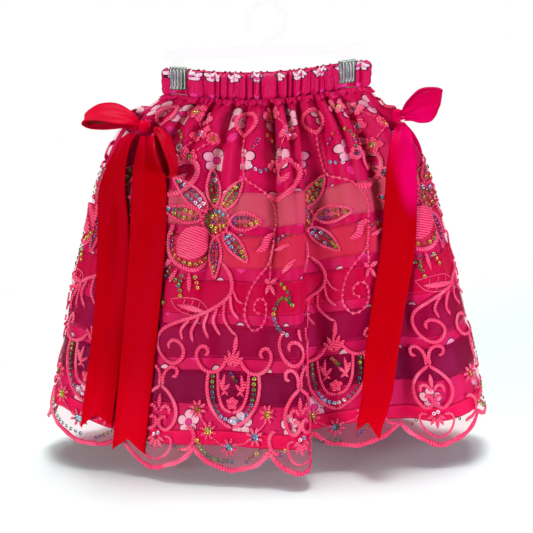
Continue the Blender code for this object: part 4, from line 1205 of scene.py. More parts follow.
    def build(self) -> dict[str, Piece]:
        """Makes every piece of both bows."""
        # the bow's satin takes a painted magenta highlight on its upper parts
        look = Satin(
            "satin_bow", srgb(180, 0, 10), 0.38, self.ribbon, None,
            shine=(1.0, 0.0, 0.3), gloss=0.06, bloom=0.12, flush=srgb(222, 0, 50),
        ).build()
        made = {name: self.tail(name, side, table, look) for name, side, table in self.tails}
        made |= {name: self.loop(name, table, look) for name, table in self.loops}
        made |= {name: self.knot(name, look) for name in self.knots}
        return made

    def cuts(self) -> dict[str, Cut]:
        """Each length of ribbon, the outer tails with the knots that tie them."""
        cuts = {}
        for name, length in self.lengths.items():
            knot = next(knot for knot in self.knots if name.startswith(knot.removesuffix("knot")))
            tied = (knot,) if name in self.tied_with_knot else ()
            held = Held.FOLDED if "loop" in name else Held.HUNG
            cuts[name] = Cut((self.ribbon, length), held, (f"satin_{knot}",), goes_with=tied)
        return cuts

    def lay(self, node: str, side: int, x: Points, z: Points) -> Points:
        """The CAD tail's outer face at places in front of it, found by looking along Y.

        Args:
            node: The CAD node.
            side: -1 to look from the front, 1 from the back.
            x: Places across, (stations, columns).
            z: Heights, the same shape.

        Returns:
            The face's y, with gaps filled from the nearest places found in each station.
        """
        solid = frame["nodes"][node]
        y = np.full(x.shape, np.nan)
        for index in np.ndindex(x.shape):
            hit, place, _, _ = solid.ray_cast((x[index], side * 0.5, z[index]), (0, -side, 0))
            if hit:
                y[index] = place.y
        spots = np.arange(x.shape[1])
        for row in y:
            found = ~np.isnan(row)
            if found.sum() >= 2:
                line = np.polyfit(spots[found], row[found], 1)
                row[~found] = np.polyval(line, spots[~found])
        stations = np.arange(len(y))
        for column in y.T:
            found = ~np.isnan(column)
            column[~found] = np.interp(stations[~found], stations[found], column[found])
        return y

    def ribbon_piece(self, name: str, middle: Points, look: Look) -> Piece:
        """A ribbon from a grid of points, (stations, columns, 3), with UV along and across it in metres."""
        length = runs(middle[:, middle.shape[1] // 2])
        self.lengths[name] = float(length[-1])
        across = np.linspace(0, self.ribbon, middle.shape[1])
        uv = np.stack(np.meshgrid(length, across, indexing="ij"), axis=-1).reshape(-1, 2)
        piece = make_mesh(f"satin_{name}", middle.reshape(-1, 3), quads_of(*middle.shape[:2]), uv, look)
        return thicken(piece, self.thickness, 0.0)

    def tail(self, name: str, side: int, table: tuple, look: Look) -> Piece:
        """A tail: its CAD place smoothed, with soft lengthwise creases that fade down it, and a swallowtail.

        Args:
            name: The tail's name.
            side: -1 where it lies on the skirt's front, 1 on its back.
            table: Its stations, as x, z and half the width that shows.
            look: The satin.

        Returns:
            The tail.
        """
        rows = smooth_rows(np.array(table), 6)
        s = np.linspace(-1, 1, self.columns)
        coarse = np.array(self.found_columns)
        y = smoothed(self.lay(name, side, rows[:, :1] + rows[:, 2:] * coarse, rows[:, 1:2] + 0 * coarse))
        share = np.clip((s - coarse[0]) / (coarse[1] - coarse[0]), 0, len(coarse) - 1.001)
        low = share.astype(int)
        y = y[:, low] * (1 - (share - low)) + y[:, low + 1] * (share - low)
        fall = runs(rows[:, :2])[:, None]
        crease = self.crease_depth * np.exp(-fall / 0.04) * np.cos(s * 5.5 + 0.6)
        wave = 0.0007 * np.sin(fall * 42 + s * 1.7) + 0.0005 * np.cos(s * 4.2 + fall * 19)
        x = rows[:, :1] + rows[:, 2:] * s
        near_end = np.clip((fall - fall[-1] + self.tail_end) / self.tail_end, 0, 1) ** 2
        z = rows[:, 1:2] + self.swallowtail * (1 - np.abs(s)) * near_end
        y = y + side * (np.abs(crease) * 0.6 + crease * 0.4 + wave + 0.0008)
        points = np.stack([x, y, z], axis=-1)
        return self.ribbon_piece(name, points if side < 0 else points[:, ::-1], look)

    def loop(self, name: str, table: tuple, look: Look) -> Piece:
        """A loop: the ribbon's middle follows the table, gathered in creases towards the knot."""
        rows = smooth_rows(np.array(table), 8)
        sides = rows[:, 3:4] * unit(rows[:, 4:])
        s = np.linspace(-1, 1, self.columns)
        points = rows[:, None, :3] + sides[:, None] * s[:, None]
        along = np.gradient(rows[:, :3], axis=0)
        normal = unit(np.cross(along, sides))
        run = runs(rows[:, :3])
        near = np.minimum(run, run[-1] - run)[:, None]
        crease = self.crease_depth * np.exp(-near / 0.018) * np.cos(s * 8.5 + 0.8)
        crease = crease + 0.0006 * np.cos(s * 3.1 + near * 60)
        points = points + normal[:, None] * crease[..., None]
        low, high = (np.array(corner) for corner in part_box(name))
        points += (low + high) / 2 - (points.min((0, 1)) + points.max((0, 1))) / 2
        return self.ribbon_piece(name, points, look)

    def knot(self, name: str, look: Look) -> Piece:
        """A knot: a flattened ball as big as the CAD one, its ribbon's creases running round it."""
        low, high = (np.array(corner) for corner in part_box(name))
        middle, half = (low + high) / 2, (high - low) / 2
        rows, columns = self.knot_grid
        turn = np.linspace(0, 2 * math.pi, columns, endpoint=False)
        s = np.linspace(-1, 1, rows)[:, None]
        narrow = np.sqrt(np.clip(1 - np.abs(s) ** 2.6, 0.0004, 1))
        crease = 1 + 0.05 * np.cos(s * 17 + 0.7 * np.sin(turn)) + 0.03 * np.cos(2 * turn + s * 5)
        lean = 0.25 * np.sin(turn) * (1 - s * s)
        across, reach = (s + lean * 0.3) * 0.97, narrow * crease
        points = half * np.stack([across, reach * np.cos(turn), reach * np.sin(turn)], axis=-1)
        quads = quads_of(rows, columns, closed=True)[:, ::-1]
        first, last = self.knot_ribbon
        round_it = np.append(turn, 2 * math.pi) * first
        grid = np.stack(np.meshgrid(round_it, np.linspace(first, last, rows)), axis=-1)
        corners = np.stack([grid[:-1, :-1], grid[1:, :-1], grid[1:, 1:], grid[:-1, 1:]], axis=2)
        uv = corners.reshape(-1, 4, 2)[:, ::-1]
        return make_mesh(f"satin_{name}", (middle + points).reshape(-1, 3), quads, uv, look)


@dataclass
class Clips:
    """The two spring clips: a plate bent over the band, pressed into five ribs, its lower edges rolled."""

    clip_x: tuple[float, float] = (-0.0867, 0.0796)
    tilts: tuple[float, float] = (-0.03, 0.14)
    half_width: float = 0.0083
    height: float = 0.0205
    jaw: float = 0.0051
    crown: float = 0.0012
    ribs: int = 5
    rib_height: float = 0.0011
    plate: float = 0.0009
    bend: float = 0.0025
    foot_roll: tuple[float, float] = (0.0016, 0.001)
    crown_fade: float = 0.004
    columns: int = 61

    def build(self, cloth: HangingCloth) -> dict[str, Piece]:
        """Makes both clips.

        The path runs up the front, round the top on two quarter circles, and down the back; a rib is a
        raised half wave across it, and each foot is raised in one roll.
        """
        look = Steel("clip_steel", srgb(140, 150, 140), 0.34).build()
        path = self.path()
        normal = -unit(np.stack([np.gradient(path[:, 1]), -np.gradient(path[:, 0])], axis=1))
        s = np.linspace(-1, 1, self.columns)
        rib = self.rib_height * np.abs(np.sin(self.ribs * math.pi * (s + 1) / 2)) ** 0.8
        width, rise = self.foot_roll
        foot = np.exp(-((path[:, 1:] + self.height) / width) ** 2)
        top = np.clip((self.crown - path[:, 1:]) / self.crown_fade, 0, 1)
        raised = rib * (1 - foot) * top + rise * foot
        uv = np.stack(np.meshgrid(s * self.half_width, runs(path)), axis=-1).reshape(-1, 2)
        made = {}
        for name, x, tilt in zip(("clip_left", "clip_right"), self.clip_x, self.tilts):
            level = float(cloth.rim(np.array([x]))[0])
            across = x + self.half_width * s + 0 * path[:, :1]
            y = path[:, :1] + normal[:, :1] * raised
            z = level + path[:, 1:] + normal[:, 1:] * raised + tilt * self.half_width * s
            points = np.stack([across, y, z], axis=-1)
            quads = quads_of(*points.shape[:2])[:, ::-1]
            piece = make_mesh(f"steel_{name}", points.reshape(-1, 3), quads, uv, look)
            made[name] = thicken(piece, self.plate)
        return made

    def path(self) -> Points:
        """The plate's middle line from the side, (n, 2), as places behind the band's middle and heights."""
        turn = np.linspace(0, math.pi / 2, 7)
        corner = np.array([self.jaw, self.crown]) - self.bend
        straight = np.linspace(-self.height, corner[1], 16)
        up = np.stack([np.full_like(straight, self.jaw), straight], axis=1)
        half = np.concatenate([up, corner + self.bend * np.stack([np.cos(turn), np.sin(turn)], axis=1)])
        return np.concatenate([half * (-1, 1), half[::-1]])


# Embroidery


class Stitch(Enum):
    """How a line of embroidery is worked."""

    CORD = "cord"
    BEADED = "beaded"
    LEAF = "leaf"


def mirror_pair(places: tuple[Point, ...], mirrored: bool) -> list[Points]:
    """A line through these places, (n, 2), and its mirror image where it has one."""
    points = np.array(places, float)
    return [points, points * (-1, 1)] if mirrored else [points]


@dataclass(frozen=True)
class Line:
    """A worked line: points across from the motif's axis and down the cloth, in millimetres, and half its
    width. A leaf is that wide at its middle and pointed at its ends."""

    points: tuple[Point, ...]
    half: float = 1.3
    stitch: Stitch = Stitch.CORD
    mirrored: bool = False
    shut: bool = False

    def paths(self) -> list[Points]:
        """The line, and its mirror image where it has one, (n, 2) each."""
        places = (*self.points, self.points[0]) if self.shut else self.points
        return mirror_pair(places, self.mirrored)


def leaf(half: float, *points: Point, mirrored: bool = False) -> Line:
    """A leaf through these points, half as wide as it gets."""
    return Line(points, half, Stitch.LEAF, mirrored)


def beads(half: float, *points: Point) -> Line:
    """A beaded line through these points."""
    return Line(points, half, Stitch.BEADED)


@dataclass(frozen=True)
class Trail:
    """A row of sequins along a line, its colours running from first to last through the palette."""

    points: tuple[Point, ...]
    first: float
    last: float
    mirrored: bool = False

    def paths(self) -> list[Points]:
        """The line, and its mirror image where it has one, (n, 2) each."""
        return mirror_pair(self.points, self.mirrored)


@dataclass
class Design:
    """One repeat of the embroidery, two scallops wide: a flower over a shield on the axis, and a heart scroll
    one scallop to the right."""

    flower: Point = (-22.0, 123.0)
    petals: tuple = (
        # turn in degrees, start and tip from the flower's middle, half width, first and last sequin colour
        (96, 15, 50, 6.4, 0.55, 0.32), (133, 14, 54, 7.2, 0.0, 0.3), (169, 14, 47, 7.8, 0.85, 0.2),
        (59, 13, 46, 6.3, 0.66, 0.4), (0, 14, 43, 8.2, 0.95, 0.75), (-50, 14, 49, 6.4, 0.1, 0.5),
        (-90, 15, 54, 6.2, 1.0, 0.9),
    )
    daisies: tuple = (
        # middle, reach, sequin colour
        ((-37.5, 302), 9.5, 0.74), ((-25.5, 323), 9.5, 0.6), ((-2, 338), 9.0, 0.22), ((24.5, 326), 9.5, 0.2),
        ((38, 304), 9.5, 0.68),
    )
    blossoms: tuple = (
        # middle, reach, sequin colour
        ((-37, 22), 7.8, 0.85), ((-47, 62), 7.8, 0.5), ((-27, 44), 6.0, 0.75), ((22, 16), 8.0, 0.66),
        ((40, 40), 8.0, 0.0), ((30, 68), 6.5, 0.9),
    )
    stem: tuple = (
        Line(((-14, 163), (-6.5, 173), (-3.5, 184), (-6, 194), (-15, 202), (-29, 209.5), (-44, 215),
              (-59, 220), (-72, 227), (-78.5, 237), (-77, 248), (-70, 256.5), (-62, 259), (-55, 255),
              (-52.5, 247.5), (-56, 240), (-62, 237), (-67, 240), (-67, 245.5)), 1.5),
        Line(((-47, 217), (-55, 227), (-54, 237)), 1.3),
        Line(((-37, 213.5), (-45, 228), (-43.5, 238.5)), 1.3),
        Line(((-27.5, 210), (-32, 223), (-27, 235)), 1.3),
        Line(((-18, 205), (-22, 219), (-14.5, 232)), 1.3),
        Line(((-10.5, 199), (-11, 215), (-3.5, 226.5), (2.5, 231)), 1.1),
        Line(((-5, 193), (-3, 207), (4, 216)), 1.2),
        Line(((-3.5, 186), (1.5, 197), (7.5, 201)), 0.9),
        leaf(2.0, (2.5, 231), (1, 248)),
        Line(((-64, 198), (-52, 196.5), (-38, 198.5), (-28, 207)), 0.45),
        Line(((-64, 198), (-58, 208), (-45, 213), (-31, 211.5)), 0.45),
        leaf(2.4, (-58, 203.5), (-31, 210)),
        Line(((-51, 197), (-53, 204)), 0.35), Line(((-43, 197.5), (-46, 205.5)), 0.35),
        Line(((-36, 199.5), (-39, 207)), 0.35), Line(((-54, 205), (-56, 209)), 0.35),
        Line(((-46, 207), (-50, 212)), 0.35), Line(((-39, 209), (-43, 213)), 0.35),
    )
    vine: tuple = (
        Line(((1, 15), (-7, 20), (-8, 30), (0.5, 39), (8, 30), (7, 19)), 1.8, shut=True),
        beads(0.6, (-34, 27), (-30, 37)), beads(0.6, (-30, 49), (-41, 57)),
        beads(0.6, (27, 20), (35, 32)), beads(0.6, (38, 44), (33, 61)),
        beads(0.75, (0.5, 40), (0, 52), (1, 66), (4, 82), (15, 90), (26, 97.5), (33, 108.5), (36, 124),
              (35, 132), (35, 144), (31.5, 162), (21, 176), (15, 186), (11.5, 196), (9.5, 208), (11, 217),
              (18, 225.5), (26, 222.5), (30.5, 215), (31.5, 206), (29.5, 198), (24.5, 195), (19.5, 199.5),
              (19, 205.5), (24, 210)),
        beads(0.6, (35, 144), (33.5, 160), (33.5, 177)),
        leaf(2.0, (33.5, 181), (28, 176.5)), leaf(2.0, (33.5, 181), (42.5, 176.5)),
        leaf(1.8, (33.5, 181), (30, 191)), leaf(1.8, (33.5, 181), (40, 192)),
        leaf(3.6, (35.3, 133), (29, 139), (25.5, 147), (18.5, 151)),
        Line(((26, 97.5), (36, 101), (47, 97), (54, 88), (55, 77), (49.5, 68.5), (41, 67.5), (35.5, 73),
              (37, 81.5), (42.5, 84), (46, 79)), 2.3),
        leaf(2.0, (36, 149.5), (54, 145.5)), leaf(2.2, (47.5, 172), (60.5, 160)),
    )
    shield: tuple = (
        Line(((7, 255), (12.5, 263), (21, 267), (31, 264.5), (37.5, 257.5), (39.5, 249.5), (35.5, 243),
              (29.5, 243), (27, 248), (30.5, 251.5)), 1.5, mirrored=True),
        Line(((26, 266), (27.5, 280), (25, 295), (17, 308), (7.5, 316), (0, 319.5)), 1.5, mirrored=True),
        Line(((16, 264), (15.5, 279), (14, 290), (9, 301), (0, 305)), 1.3, mirrored=True),
        leaf(2.2, (0.5, 261), (9.5, 251), mirrored=True),
        leaf(1.9, (0.3, 259), (5.5, 245.5), mirrored=True),
        leaf(1.5, (0, 259), (0, 244)),
        leaf(1.7, (6, 287), (10, 281), (8.5, 268), mirrored=True),
        leaf(1.5, (10, 285), (13.5, 273.5), mirrored=True),
        leaf(1.6, (9, 284), (3, 277.5), mirrored=True),
        Line(((11.5, 289), (8, 285.5), (4.5, 288.5)), 1.2, mirrored=True),
        leaf(2.4, (0, 296), (0, 289.5)), leaf(2.4, (0, 296), (6, 293), mirrored=True),
        leaf(2.4, (0, 296), (3.5, 301), mirrored=True),
        Line(((50, 320), (45, 321), (41.5, 327), (43, 335), (49, 340), (57, 341)), 1.6, mirrored=True),
        Line(((-38, 306), (-32, 313), (-26, 319)), 0.5), Line(((-22, 328), (-12, 335), (-6, 337)), 0.5),
        Line(((3, 336), (13, 333), (20, 329)), 0.5), Line(((27, 321), (33, 315), (37, 309)), 0.5),
    )
    heart: tuple = (
        Line(((2, 281), (1.5, 273), (4, 266), (9.5, 262.5), (15, 265), (15, 270.5), (10.5, 272)), 1.5,
             mirrored=True),
        Line(((0, 280.5), (10, 289), (17, 299), (19, 309), (16, 318), (9, 323), (2.5, 320), (1.5, 313.5),
              (5.5, 310.5), (8.5, 313.5)), 1.5, mirrored=True),
        leaf(1.8, (0, 303), (0, 289)),
        Line(((1, 306), (5.5, 300.5), (10.5, 302), (11.5, 307.5)), 1.5, mirrored=True),
        Line(((8, 329), (14.5, 330), (17, 336), (13.5, 345), (6.5, 350), (0, 351.5)), 1.1, mirrored=True),
        leaf(1.9, (0, 332), (0, 343)), leaf(1.7, (1, 331), (6.5, 340), mirrored=True),
        leaf(1.6, (2, 329.5), (9, 334), mirrored=True),
    )
    trails: tuple = (
        Trail(((21.5, 271), (21.5, 285), (18.5, 299), (11, 309), (2, 313)), 0.55, 0.05, mirrored=True),
        Trail(((-38, 332), (-32, 341), (-23, 347.5), (-11, 351), (2, 351.5)), 0.55, 0.3),
        Trail(((17, 349), (31, 338)), 0.95, 0.8),
        Trail(((61.5, 202.5), (52, 195), (43, 200.5), (40, 210.5), (44.5, 220.5), (52, 227), (58, 229.5)),
              0.6, 0.12),
        Trail(((38, 140), (52, 137)), 0.95, 0.9), Trail(((48, 182), (56, 190), (59, 200)), 0.5, 0.4),
        Trail(((-62, 176), (-56, 184), (-55, 195)), 0.4, 0.6), Trail(((-2, 268), (3, 274)), 0.9, 0.55),
        Trail(((8, 71), (17, 75), (26, 70), (30, 58), (27, 45), (20, 39)), 0.05, 0.62),
        Trail(((13, 45), (9, 53)), 0.98, 0.9),
    )
    heart_trails: tuple = (
        Trail(((-2, 328), (2, 326.5)), 0.0, 0.05), Trail(((-21, 337), (-27, 341)), 0.85, 0.95),
        Trail(((21, 337), (27, 341)), 0.9, 0.8),
    )
    petal_outline: tuple = (
        # along the petal, share of its half width
        (0.0, 0.0), (0.18, 0.78), (0.45, 1.0), (0.72, 0.72), (1.0, 0.0),
    )
    petal_sequins: tuple = (
        # along the petal, share of its half width
        (0.16, 0.8), (0.5, 1.25), (0.86, 0.3),
    )
    sequin_row_side: float = 0.36
    ring_reach: Point = (13, 14)
    cup: tuple = ((-38, 4.5), (-44, 21), (-41.5, 35), (-30, 45), (-18.5, 46.5), (-8, 38))
    cup_joint: tuple = ((-8, 13), (-12, 16))
    spikes: tuple = (((-43, 37), (-48.5, 47)), ((-35.5, 47), (-43, 60)), ((-25, 49.5), (-25.5, 68)))
    filled_pad: tuple = ((-8, 9), (-22, 22), (-34, 34))
    eye_rings: tuple = (
        # radius, sequins, place in the palette
        (2.2, 4, 0.0), (6.6, 8, 0.25), (9.8, 11, 0.5),
    )
    cup_trails: tuple = (
        # places from the flower's middle, first and last colour
        (((-39.5, 10), (-40.5, 20), (-38, 33), (-29, 40.5), (-18, 41.5), (-11, 36)), 0.95, 0.55),
        (((-31, 53), (-34.5, 63)), 0.45, 0.4), (((-19.5, 54), (-17.5, 64)), 0.55, 0.7),
        (((-41.5, 46), (-46, 54)), 0.35, 0.4),
    )

    def from_flower(self, places: tuple[Point, ...]) -> tuple[Point, ...]:
        """Places given from the flower's middle, as places from the axis."""
        cx, cy = self.flower
        return tuple((cx + x, cy + y) for x, y in places)

    def flower_lines(self) -> list[Line]:
        """The big flower: outlined petals round a ring, and a filled pad in a deep cup with three spikes."""
        share, width = np.array(self.petal_outline).T
        across, up = self.ring_reach
        turns = np.linspace(0, 2 * math.pi, 12, endpoint=False)
        ring = self.from_flower([(across * math.cos(a), -up * math.sin(a)) for a in turns])
        return [
            *(Line(self.oval(turn, start, tip, share, half * width), 1.25, shut=True)
              for turn, start, tip, half, _, _ in self.petals),
            Line(ring, 0.85, Stitch.BEADED, shut=True),
            Line(self.from_flower(self.cup), 1.9),
            Line(self.from_flower(self.cup_joint), 3.0, Stitch.LEAF),
            *(Line(self.from_flower(spike), 1.9, Stitch.LEAF) for spike in self.spikes),
            Line(((-18, 160), (-14, 163)), 1.2),
            Line(self.from_flower(self.filled_pad), 13.5, Stitch.LEAF),
        ]

    def oval(self, turn: float, start: float, tip: float, share: Points, width: Points) -> tuple[Point, ...]:
        """A petal's outline: out along one side and back along the other.

        Args:
            turn: The petal's direction in degrees, up being 90.
            start: Where it starts from the flower's middle.
            tip: Where it ends.
            share: Stations along it, 0 to 1.
            width: Half its width at each station.

        Returns:
            The outline's points, from the start round and nearly back to it.
        """
        c, s = math.cos(math.radians(turn)), math.sin(math.radians(turn))
        out = start + (tip - start) * share
        there = [(r * c - w * s, -r * s - w * c) for r, w in zip(out, width)]
        back = [(r * c + w * s, -r * s + w * c) for r, w in zip(out[-2:0:-1], width[-2:0:-1])]
        return self.from_flower(there + back)

    def rosette(self, middle: Point, reach: float, petals: int, half: float, start: float) -> list[Line]:
        """Small leaf-shaped petals set round a middle, from start to reach out of it."""
        turns = np.linspace(0, 2 * math.pi, petals, endpoint=False) + 0.3
        ways = np.stack([np.cos(turns), np.sin(turns)], axis=1)
        inner, outer = np.array(middle) + start * ways, np.array(middle) + reach * ways
        return [Line((tuple(a), tuple(b)), half, Stitch.LEAF) for a, b in zip(inner, outer)]

    def axis_lines(self) -> list[Line]:
        """Every worked line that is placed from the shield's axis."""
        lines = [*self.flower_lines(), *self.stem, *self.vine, *self.shield]
        for middle, reach, _ in self.daisies:
            lines += self.rosette(middle, reach, petals=8, half=1.35, start=2.6)
        for middle, reach, _ in self.blossoms:
            lines += self.rosette(middle, reach, petals=5, half=3.4, start=1.6)
        return lines

    def axis_trails(self) -> list[Trail]:
        """Every row of sequins that is placed from the shield's axis."""
        trails = list(self.trails)
        share, width = np.array(self.petal_sequins).T
        for turn, start, tip, half, first, last in self.petals:
            for side in (-self.sequin_row_side, self.sequin_row_side):
                row = self.oval(turn, start, tip, share, half * side * width)[: len(share)]
                trails.append(Trail(row, first, last + side * 0.3))
        for radius, count, shift in self.eye_rings:
            ring = [(radius * math.cos(a), radius * math.sin(a)) for a in np.linspace(0, 5.6, count)]
            trails.append(Trail(self.from_flower(ring), 0.72 + shift * 0.3, 0.9 - shift * 1.6))
        trails += [Trail(self.from_flower(places), first, last) for places, first, last in self.cup_trails]
        for (x, y), _, colour in (*self.daisies, *self.blossoms):
            trails.append(Trail(((x - 1.5, y - 1.5), (x + 1.5, y - 1.5)), colour, colour + 0.05))
            trails.append(Trail(((x - 1.5, y + 1.5), (x + 1.5, y + 1.5)), colour + 0.08, colour))
        return trails


@dataclass
class Embroidery:
    """The embroidery on the net: raised satin stitch and sequins, repeated round the skirt."""

    skirt: Skirt
    design: Design = field(default_factory=Design)
    axes: tuple[float, ...] = (0.75, 2.75, 4.55, 6.75, 8.75, 10.75, 12.75)
    heart_axes: tuple[float, ...] = tuple(1.75 + 2 * n for n in range(SCALLOPS // 2))
    tucked_axis: float = 4.55
    tucked_to: float = 4.02
    tucked_down: float = 0.226
    step: float = 0.0012
    lift: float = 0.00005
    fullness: float = 1.14
    bead: float = 5.5
    taper: float = 2.5
    from_down: float = 0.004
    to_down: float = 0.3665
    seam_margin: float = 0.015
    edge_margin: float = 0.01
    edge_columns: int = 54
    edge_half: tuple[float, float] = (0.0024, 0.0003)
    edge_wave: float = 0.0012
    section_turns: tuple[float, ...] = (0, 45, 90, 135, 180)
    section_foot: float = -0.25
    sequin: float = 0.0019
    sequin_gap: float = 0.0049
    sequin_lift: float = 0.0009
    sequin_margin: float = 0.03
    sequin_sides: int = 10
    sequin_section: tuple = (
        # share of the radius, height above the middle
        (0.46, -0.00025), (0.46, -0.0001), (0.74, 0.0), (1.0, 0.00045), (1.0, 0.0003),
    )
    seed: int = 11

    def build(self) -> dict[str, Piece]:
        """Makes the stitches, the hem's edge and the sequins of each panel."""
        thread = Thread("embroidery_thread", srgb(255, 84, 128), 0.5).build()
        foil = Foil("sequin_foil", srgb(120, 175, 60), 0.22).build()
        lines = [(line, axis) for axis in self.axes for line in self.design.axis_lines()]
        lines += [(line, axis) for axis in self.heart_axes for line in self.design.heart]
        trails = [(trail, axis) for axis in self.axes for trail in self.design.axis_trails()]
        trails += [(trail, axis) for axis in self.heart_axes for trail in self.design.heart_trails]
        made = {}
        for side in Side:
            cords = []
            for line, axis in lines:
                for path in line.paths():
                    cords += self.work(side, line, path, axis)
            cords.append(self.edge(side))
            made[f"stitches_{side.value}"] = self.sew(f"embroidery_{side.value}", cords, thread)
            made[f"sequins_{side.value}"] = self.sequins(side, trails, foil)
        return made

    def place(self, path: Points, axis: float) -> tuple[Points, Points]:
        """A path's places round and lengths down in metres, from millimetres beside its axis and down."""
        down = np.clip(path[:, 1] * MM, self.from_down, self.to_down)
        return axis + path[:, 0] * MM / self.skirt.cloth.scallop_width(down), down

    def shown(self, around: Points, down: Points, axis: float) -> Points:
        """Whether the work lies outside the big fold, which takes in one flower's left half."""
        return (around > self.tucked_to) | (down > self.tucked_down) | (axis != self.tucked_axis)

    def within(self, side: Side, around: Points, margin: float) -> Points:
        """Whether places round lie on a panel, a margin short of its side seams."""
        start, end = side.span
        wrapped = around % SCALLOPS
        return (wrapped > start + margin) & (wrapped < end - margin)

    def runs_inside(self, side: Side, around: Points, shown: Points) -> list[slice]:
        """The stretches of a path that show on one panel."""
        inside = self.within(side, around, self.seam_margin) & shown
        edges = np.flatnonzero(np.diff(np.concatenate([[0], inside.astype(int), [0]])))
        return [slice(a, b) for a, b in zip(edges[::2], edges[1::2]) if b - a > 1]

    def fine(self, path: Points, closed: bool) -> Points:
        """A path on a smooth curve, with points evenly spaced a step apart."""
        steps = 10
        if closed:
            curve = smooth_rows(np.concatenate([path[-2:-1], path, path[1:2]]), steps)[steps:-steps]
        else:
            curve = smooth_rows(path, steps) if len(path) > 2 else path
        return evenly(curve, max(int(runs(curve)[-1] * MM / self.step), 4))

    def work(self, side: Side, line: Line, path: Points, axis: float) -> list[Cord]:
        """Works one line's path on a panel of the net: for each stretch of it there, its middle line on the
        net, the normals, half widths and heights."""
        path = self.fine(path, line.shut)
        around, down = self.place(path, axis)
        run = runs(path)
        t = run / run[-1]
        half = np.full(len(path), line.half * MM * self.fullness)
        if line.stitch is Stitch.LEAF:
            half *= np.sin(math.pi * np.clip(t, 0.015, 0.985)) ** 0.62
        elif line.stitch is Stitch.BEADED:
            bead = 0.5 + 0.5 * np.cos(2 * math.pi * run / self.bead)
            half *= 0.5 + 1.7 * bead**3
        elif not line.shut:
            half *= np.clip(np.minimum(t, 1 - t) * run[-1] / self.taper, 0.35, 1)
        height = np.minimum(half * 0.95, 0.0014 + 0.05 * half)
        found = []
        for part in self.runs_inside(side, around, self.shown(around, down, axis)):
            out = self.skirt.net_face(around[part], down[part]) + self.lift
            middle = self.skirt.cloth.at(around[part], down[part], out)
            normal = self.skirt.cloth.normal(around[part], down[part])
            found.append((middle, normal, half[part], height[part]))
        return found

    def edge(self, side: Side) -> Cord:
        """The thick stitched edge along the scalloped hem, three small waves to a scallop."""
        cloth = self.skirt.cloth
        start, end = side.span
        columns = int((end - start) * self.edge_columns)
        around = np.linspace(start + self.edge_margin, end - self.edge_margin, columns)
        wave = np.sin(math.pi * ((around - cloth.cusp) % 1) * 3) ** 2
        mean, change = self.edge_half
        down = cloth.overlay_cusp_length + cloth.scallop(around) - mean + self.edge_wave * wave
        middle = cloth.at(around, down, self.skirt.net_face(around, down))
        half = mean + change * np.cos(around * 41)
        return middle, cloth.normal(around, down), half, half * 0.62

    def sew(self, name: str, cords: list[Cord], look: Look) -> Piece:
        """Raised stitching: each line's half-round section, swept along it and closed at its ends.

        The section is five points on a half circle, scaled by the half width and the height, and one under
        the net.
        """
        angles = np.radians(self.section_turns)
        section_x = np.append(np.cos(angles), 0.0)
        section_h = np.append(np.sin(angles), self.section_foot)
        sides = len(section_x)
        cap = np.array([[0, 1, 2, 3], [0, 3, 4, 5]])
        points, faces, uvs, base = [], [], [], 0
        for middle, normal, half, height in cords:
            along = unit(np.gradient(middle, axis=0))
            across = unit(np.cross(normal, along))
            ring = (
                middle[:, None]
                + across[:, None] * (section_x * half[:, None])[..., None]
                + normal[:, None] * (section_h * height[:, None])[..., None]
            )
            quads = quads_of(len(ring), sides, closed=True)
            caps = np.concatenate([cap, cap[:, ::-1] + (len(ring) - 1) * sides])
            uv = np.stack([runs(middle)[:, None] + 0 * section_x, half[:, None] * section_x], axis=-1)
            points.append(ring.reshape(-1, 3))
            uvs.append(uv.reshape(-1, 2))
            faces.append(np.concatenate([quads, caps]) + base)
            base += len(ring) * sides
        return make_mesh(name, np.concatenate(points), np.concatenate(faces), np.concatenate(uvs), look, 75)

    def sequins(self, side: Side, trails: list[tuple[Trail, float]], look: Look) -> Piece:
        """Cupped rings laid on the net, tipped a little, each a closed ring of ten sides."""
        rng = np.random.default_rng(self.seed)
        around, down, shade = [], [], []
        for trail, axis in trails:
            for path in trail.paths():
                curve = smooth_rows(path, 8) if len(path) > 2 else path
                count = max(int(round(runs(curve)[-1] * MM / self.sequin_gap)), 1)
                places, lengths = self.place(evenly(curve, count), axis)
                shown = self.shown(places, lengths, axis)
                around.append(places[shown])
                down.append(lengths[shown])
                shade.append(np.linspace(trail.first, trail.last, count + 1)[shown])
        around, down = np.concatenate(around), np.concatenate(down)
        shade = np.clip(np.concatenate(shade) + rng.normal(0, 0.075, len(around)), 0.01, 0.99)
        tip = rng.normal(0, 0.16, (len(around), 2))
        keep = self.within(side, around, self.sequin_margin)
        rings = self.discs(around[keep], down[keep], tip[keep])
        count, rows, sides = rings.shape[:3]
        one = ring_quads(rows, sides)
        faces = (one[None] + np.arange(count)[:, None, None] * rows * sides).reshape(-1, 4)
        uv = np.stack([np.repeat(shade[keep], rows * sides), np.full(count * rows * sides, 0.5)], axis=1)
        return make_mesh(f"sequins_{side.value}", rings.reshape(-1, 3), faces, uv, look, 40)

    def discs(self, around: Points, down: Points, tip: Points) -> Points:
        """The sequins' points, (n, rows of the section, sides, 3): the section turned round each sequin's own
        normal, which is tipped sideways and upwards by tip, (n, 2)."""
        cloth = self.skirt.cloth
        middle = cloth.at(around, down, self.skirt.net_face(around, down) + self.sequin_lift)
        normal = cloth.normal(around, down)
        across = unit(np.cross(UP, normal))
        normal = unit(normal + across * tip[:, :1] + UP * tip[:, 1:])
        across = unit(np.cross(UP, normal))
        up = np.cross(normal, across)
        turn = np.linspace(0, 2 * math.pi, self.sequin_sides, endpoint=False)[None, :, None]
        spoke = across[:, None] * np.cos(turn) + up[:, None] * np.sin(turn)
        radius, height = np.array(self.sequin_section).T[:, None, :, None, None]
        return middle[:, None, None] + spoke[:, None] * radius * self.sequin + normal[:, None, None] * height


# The studio


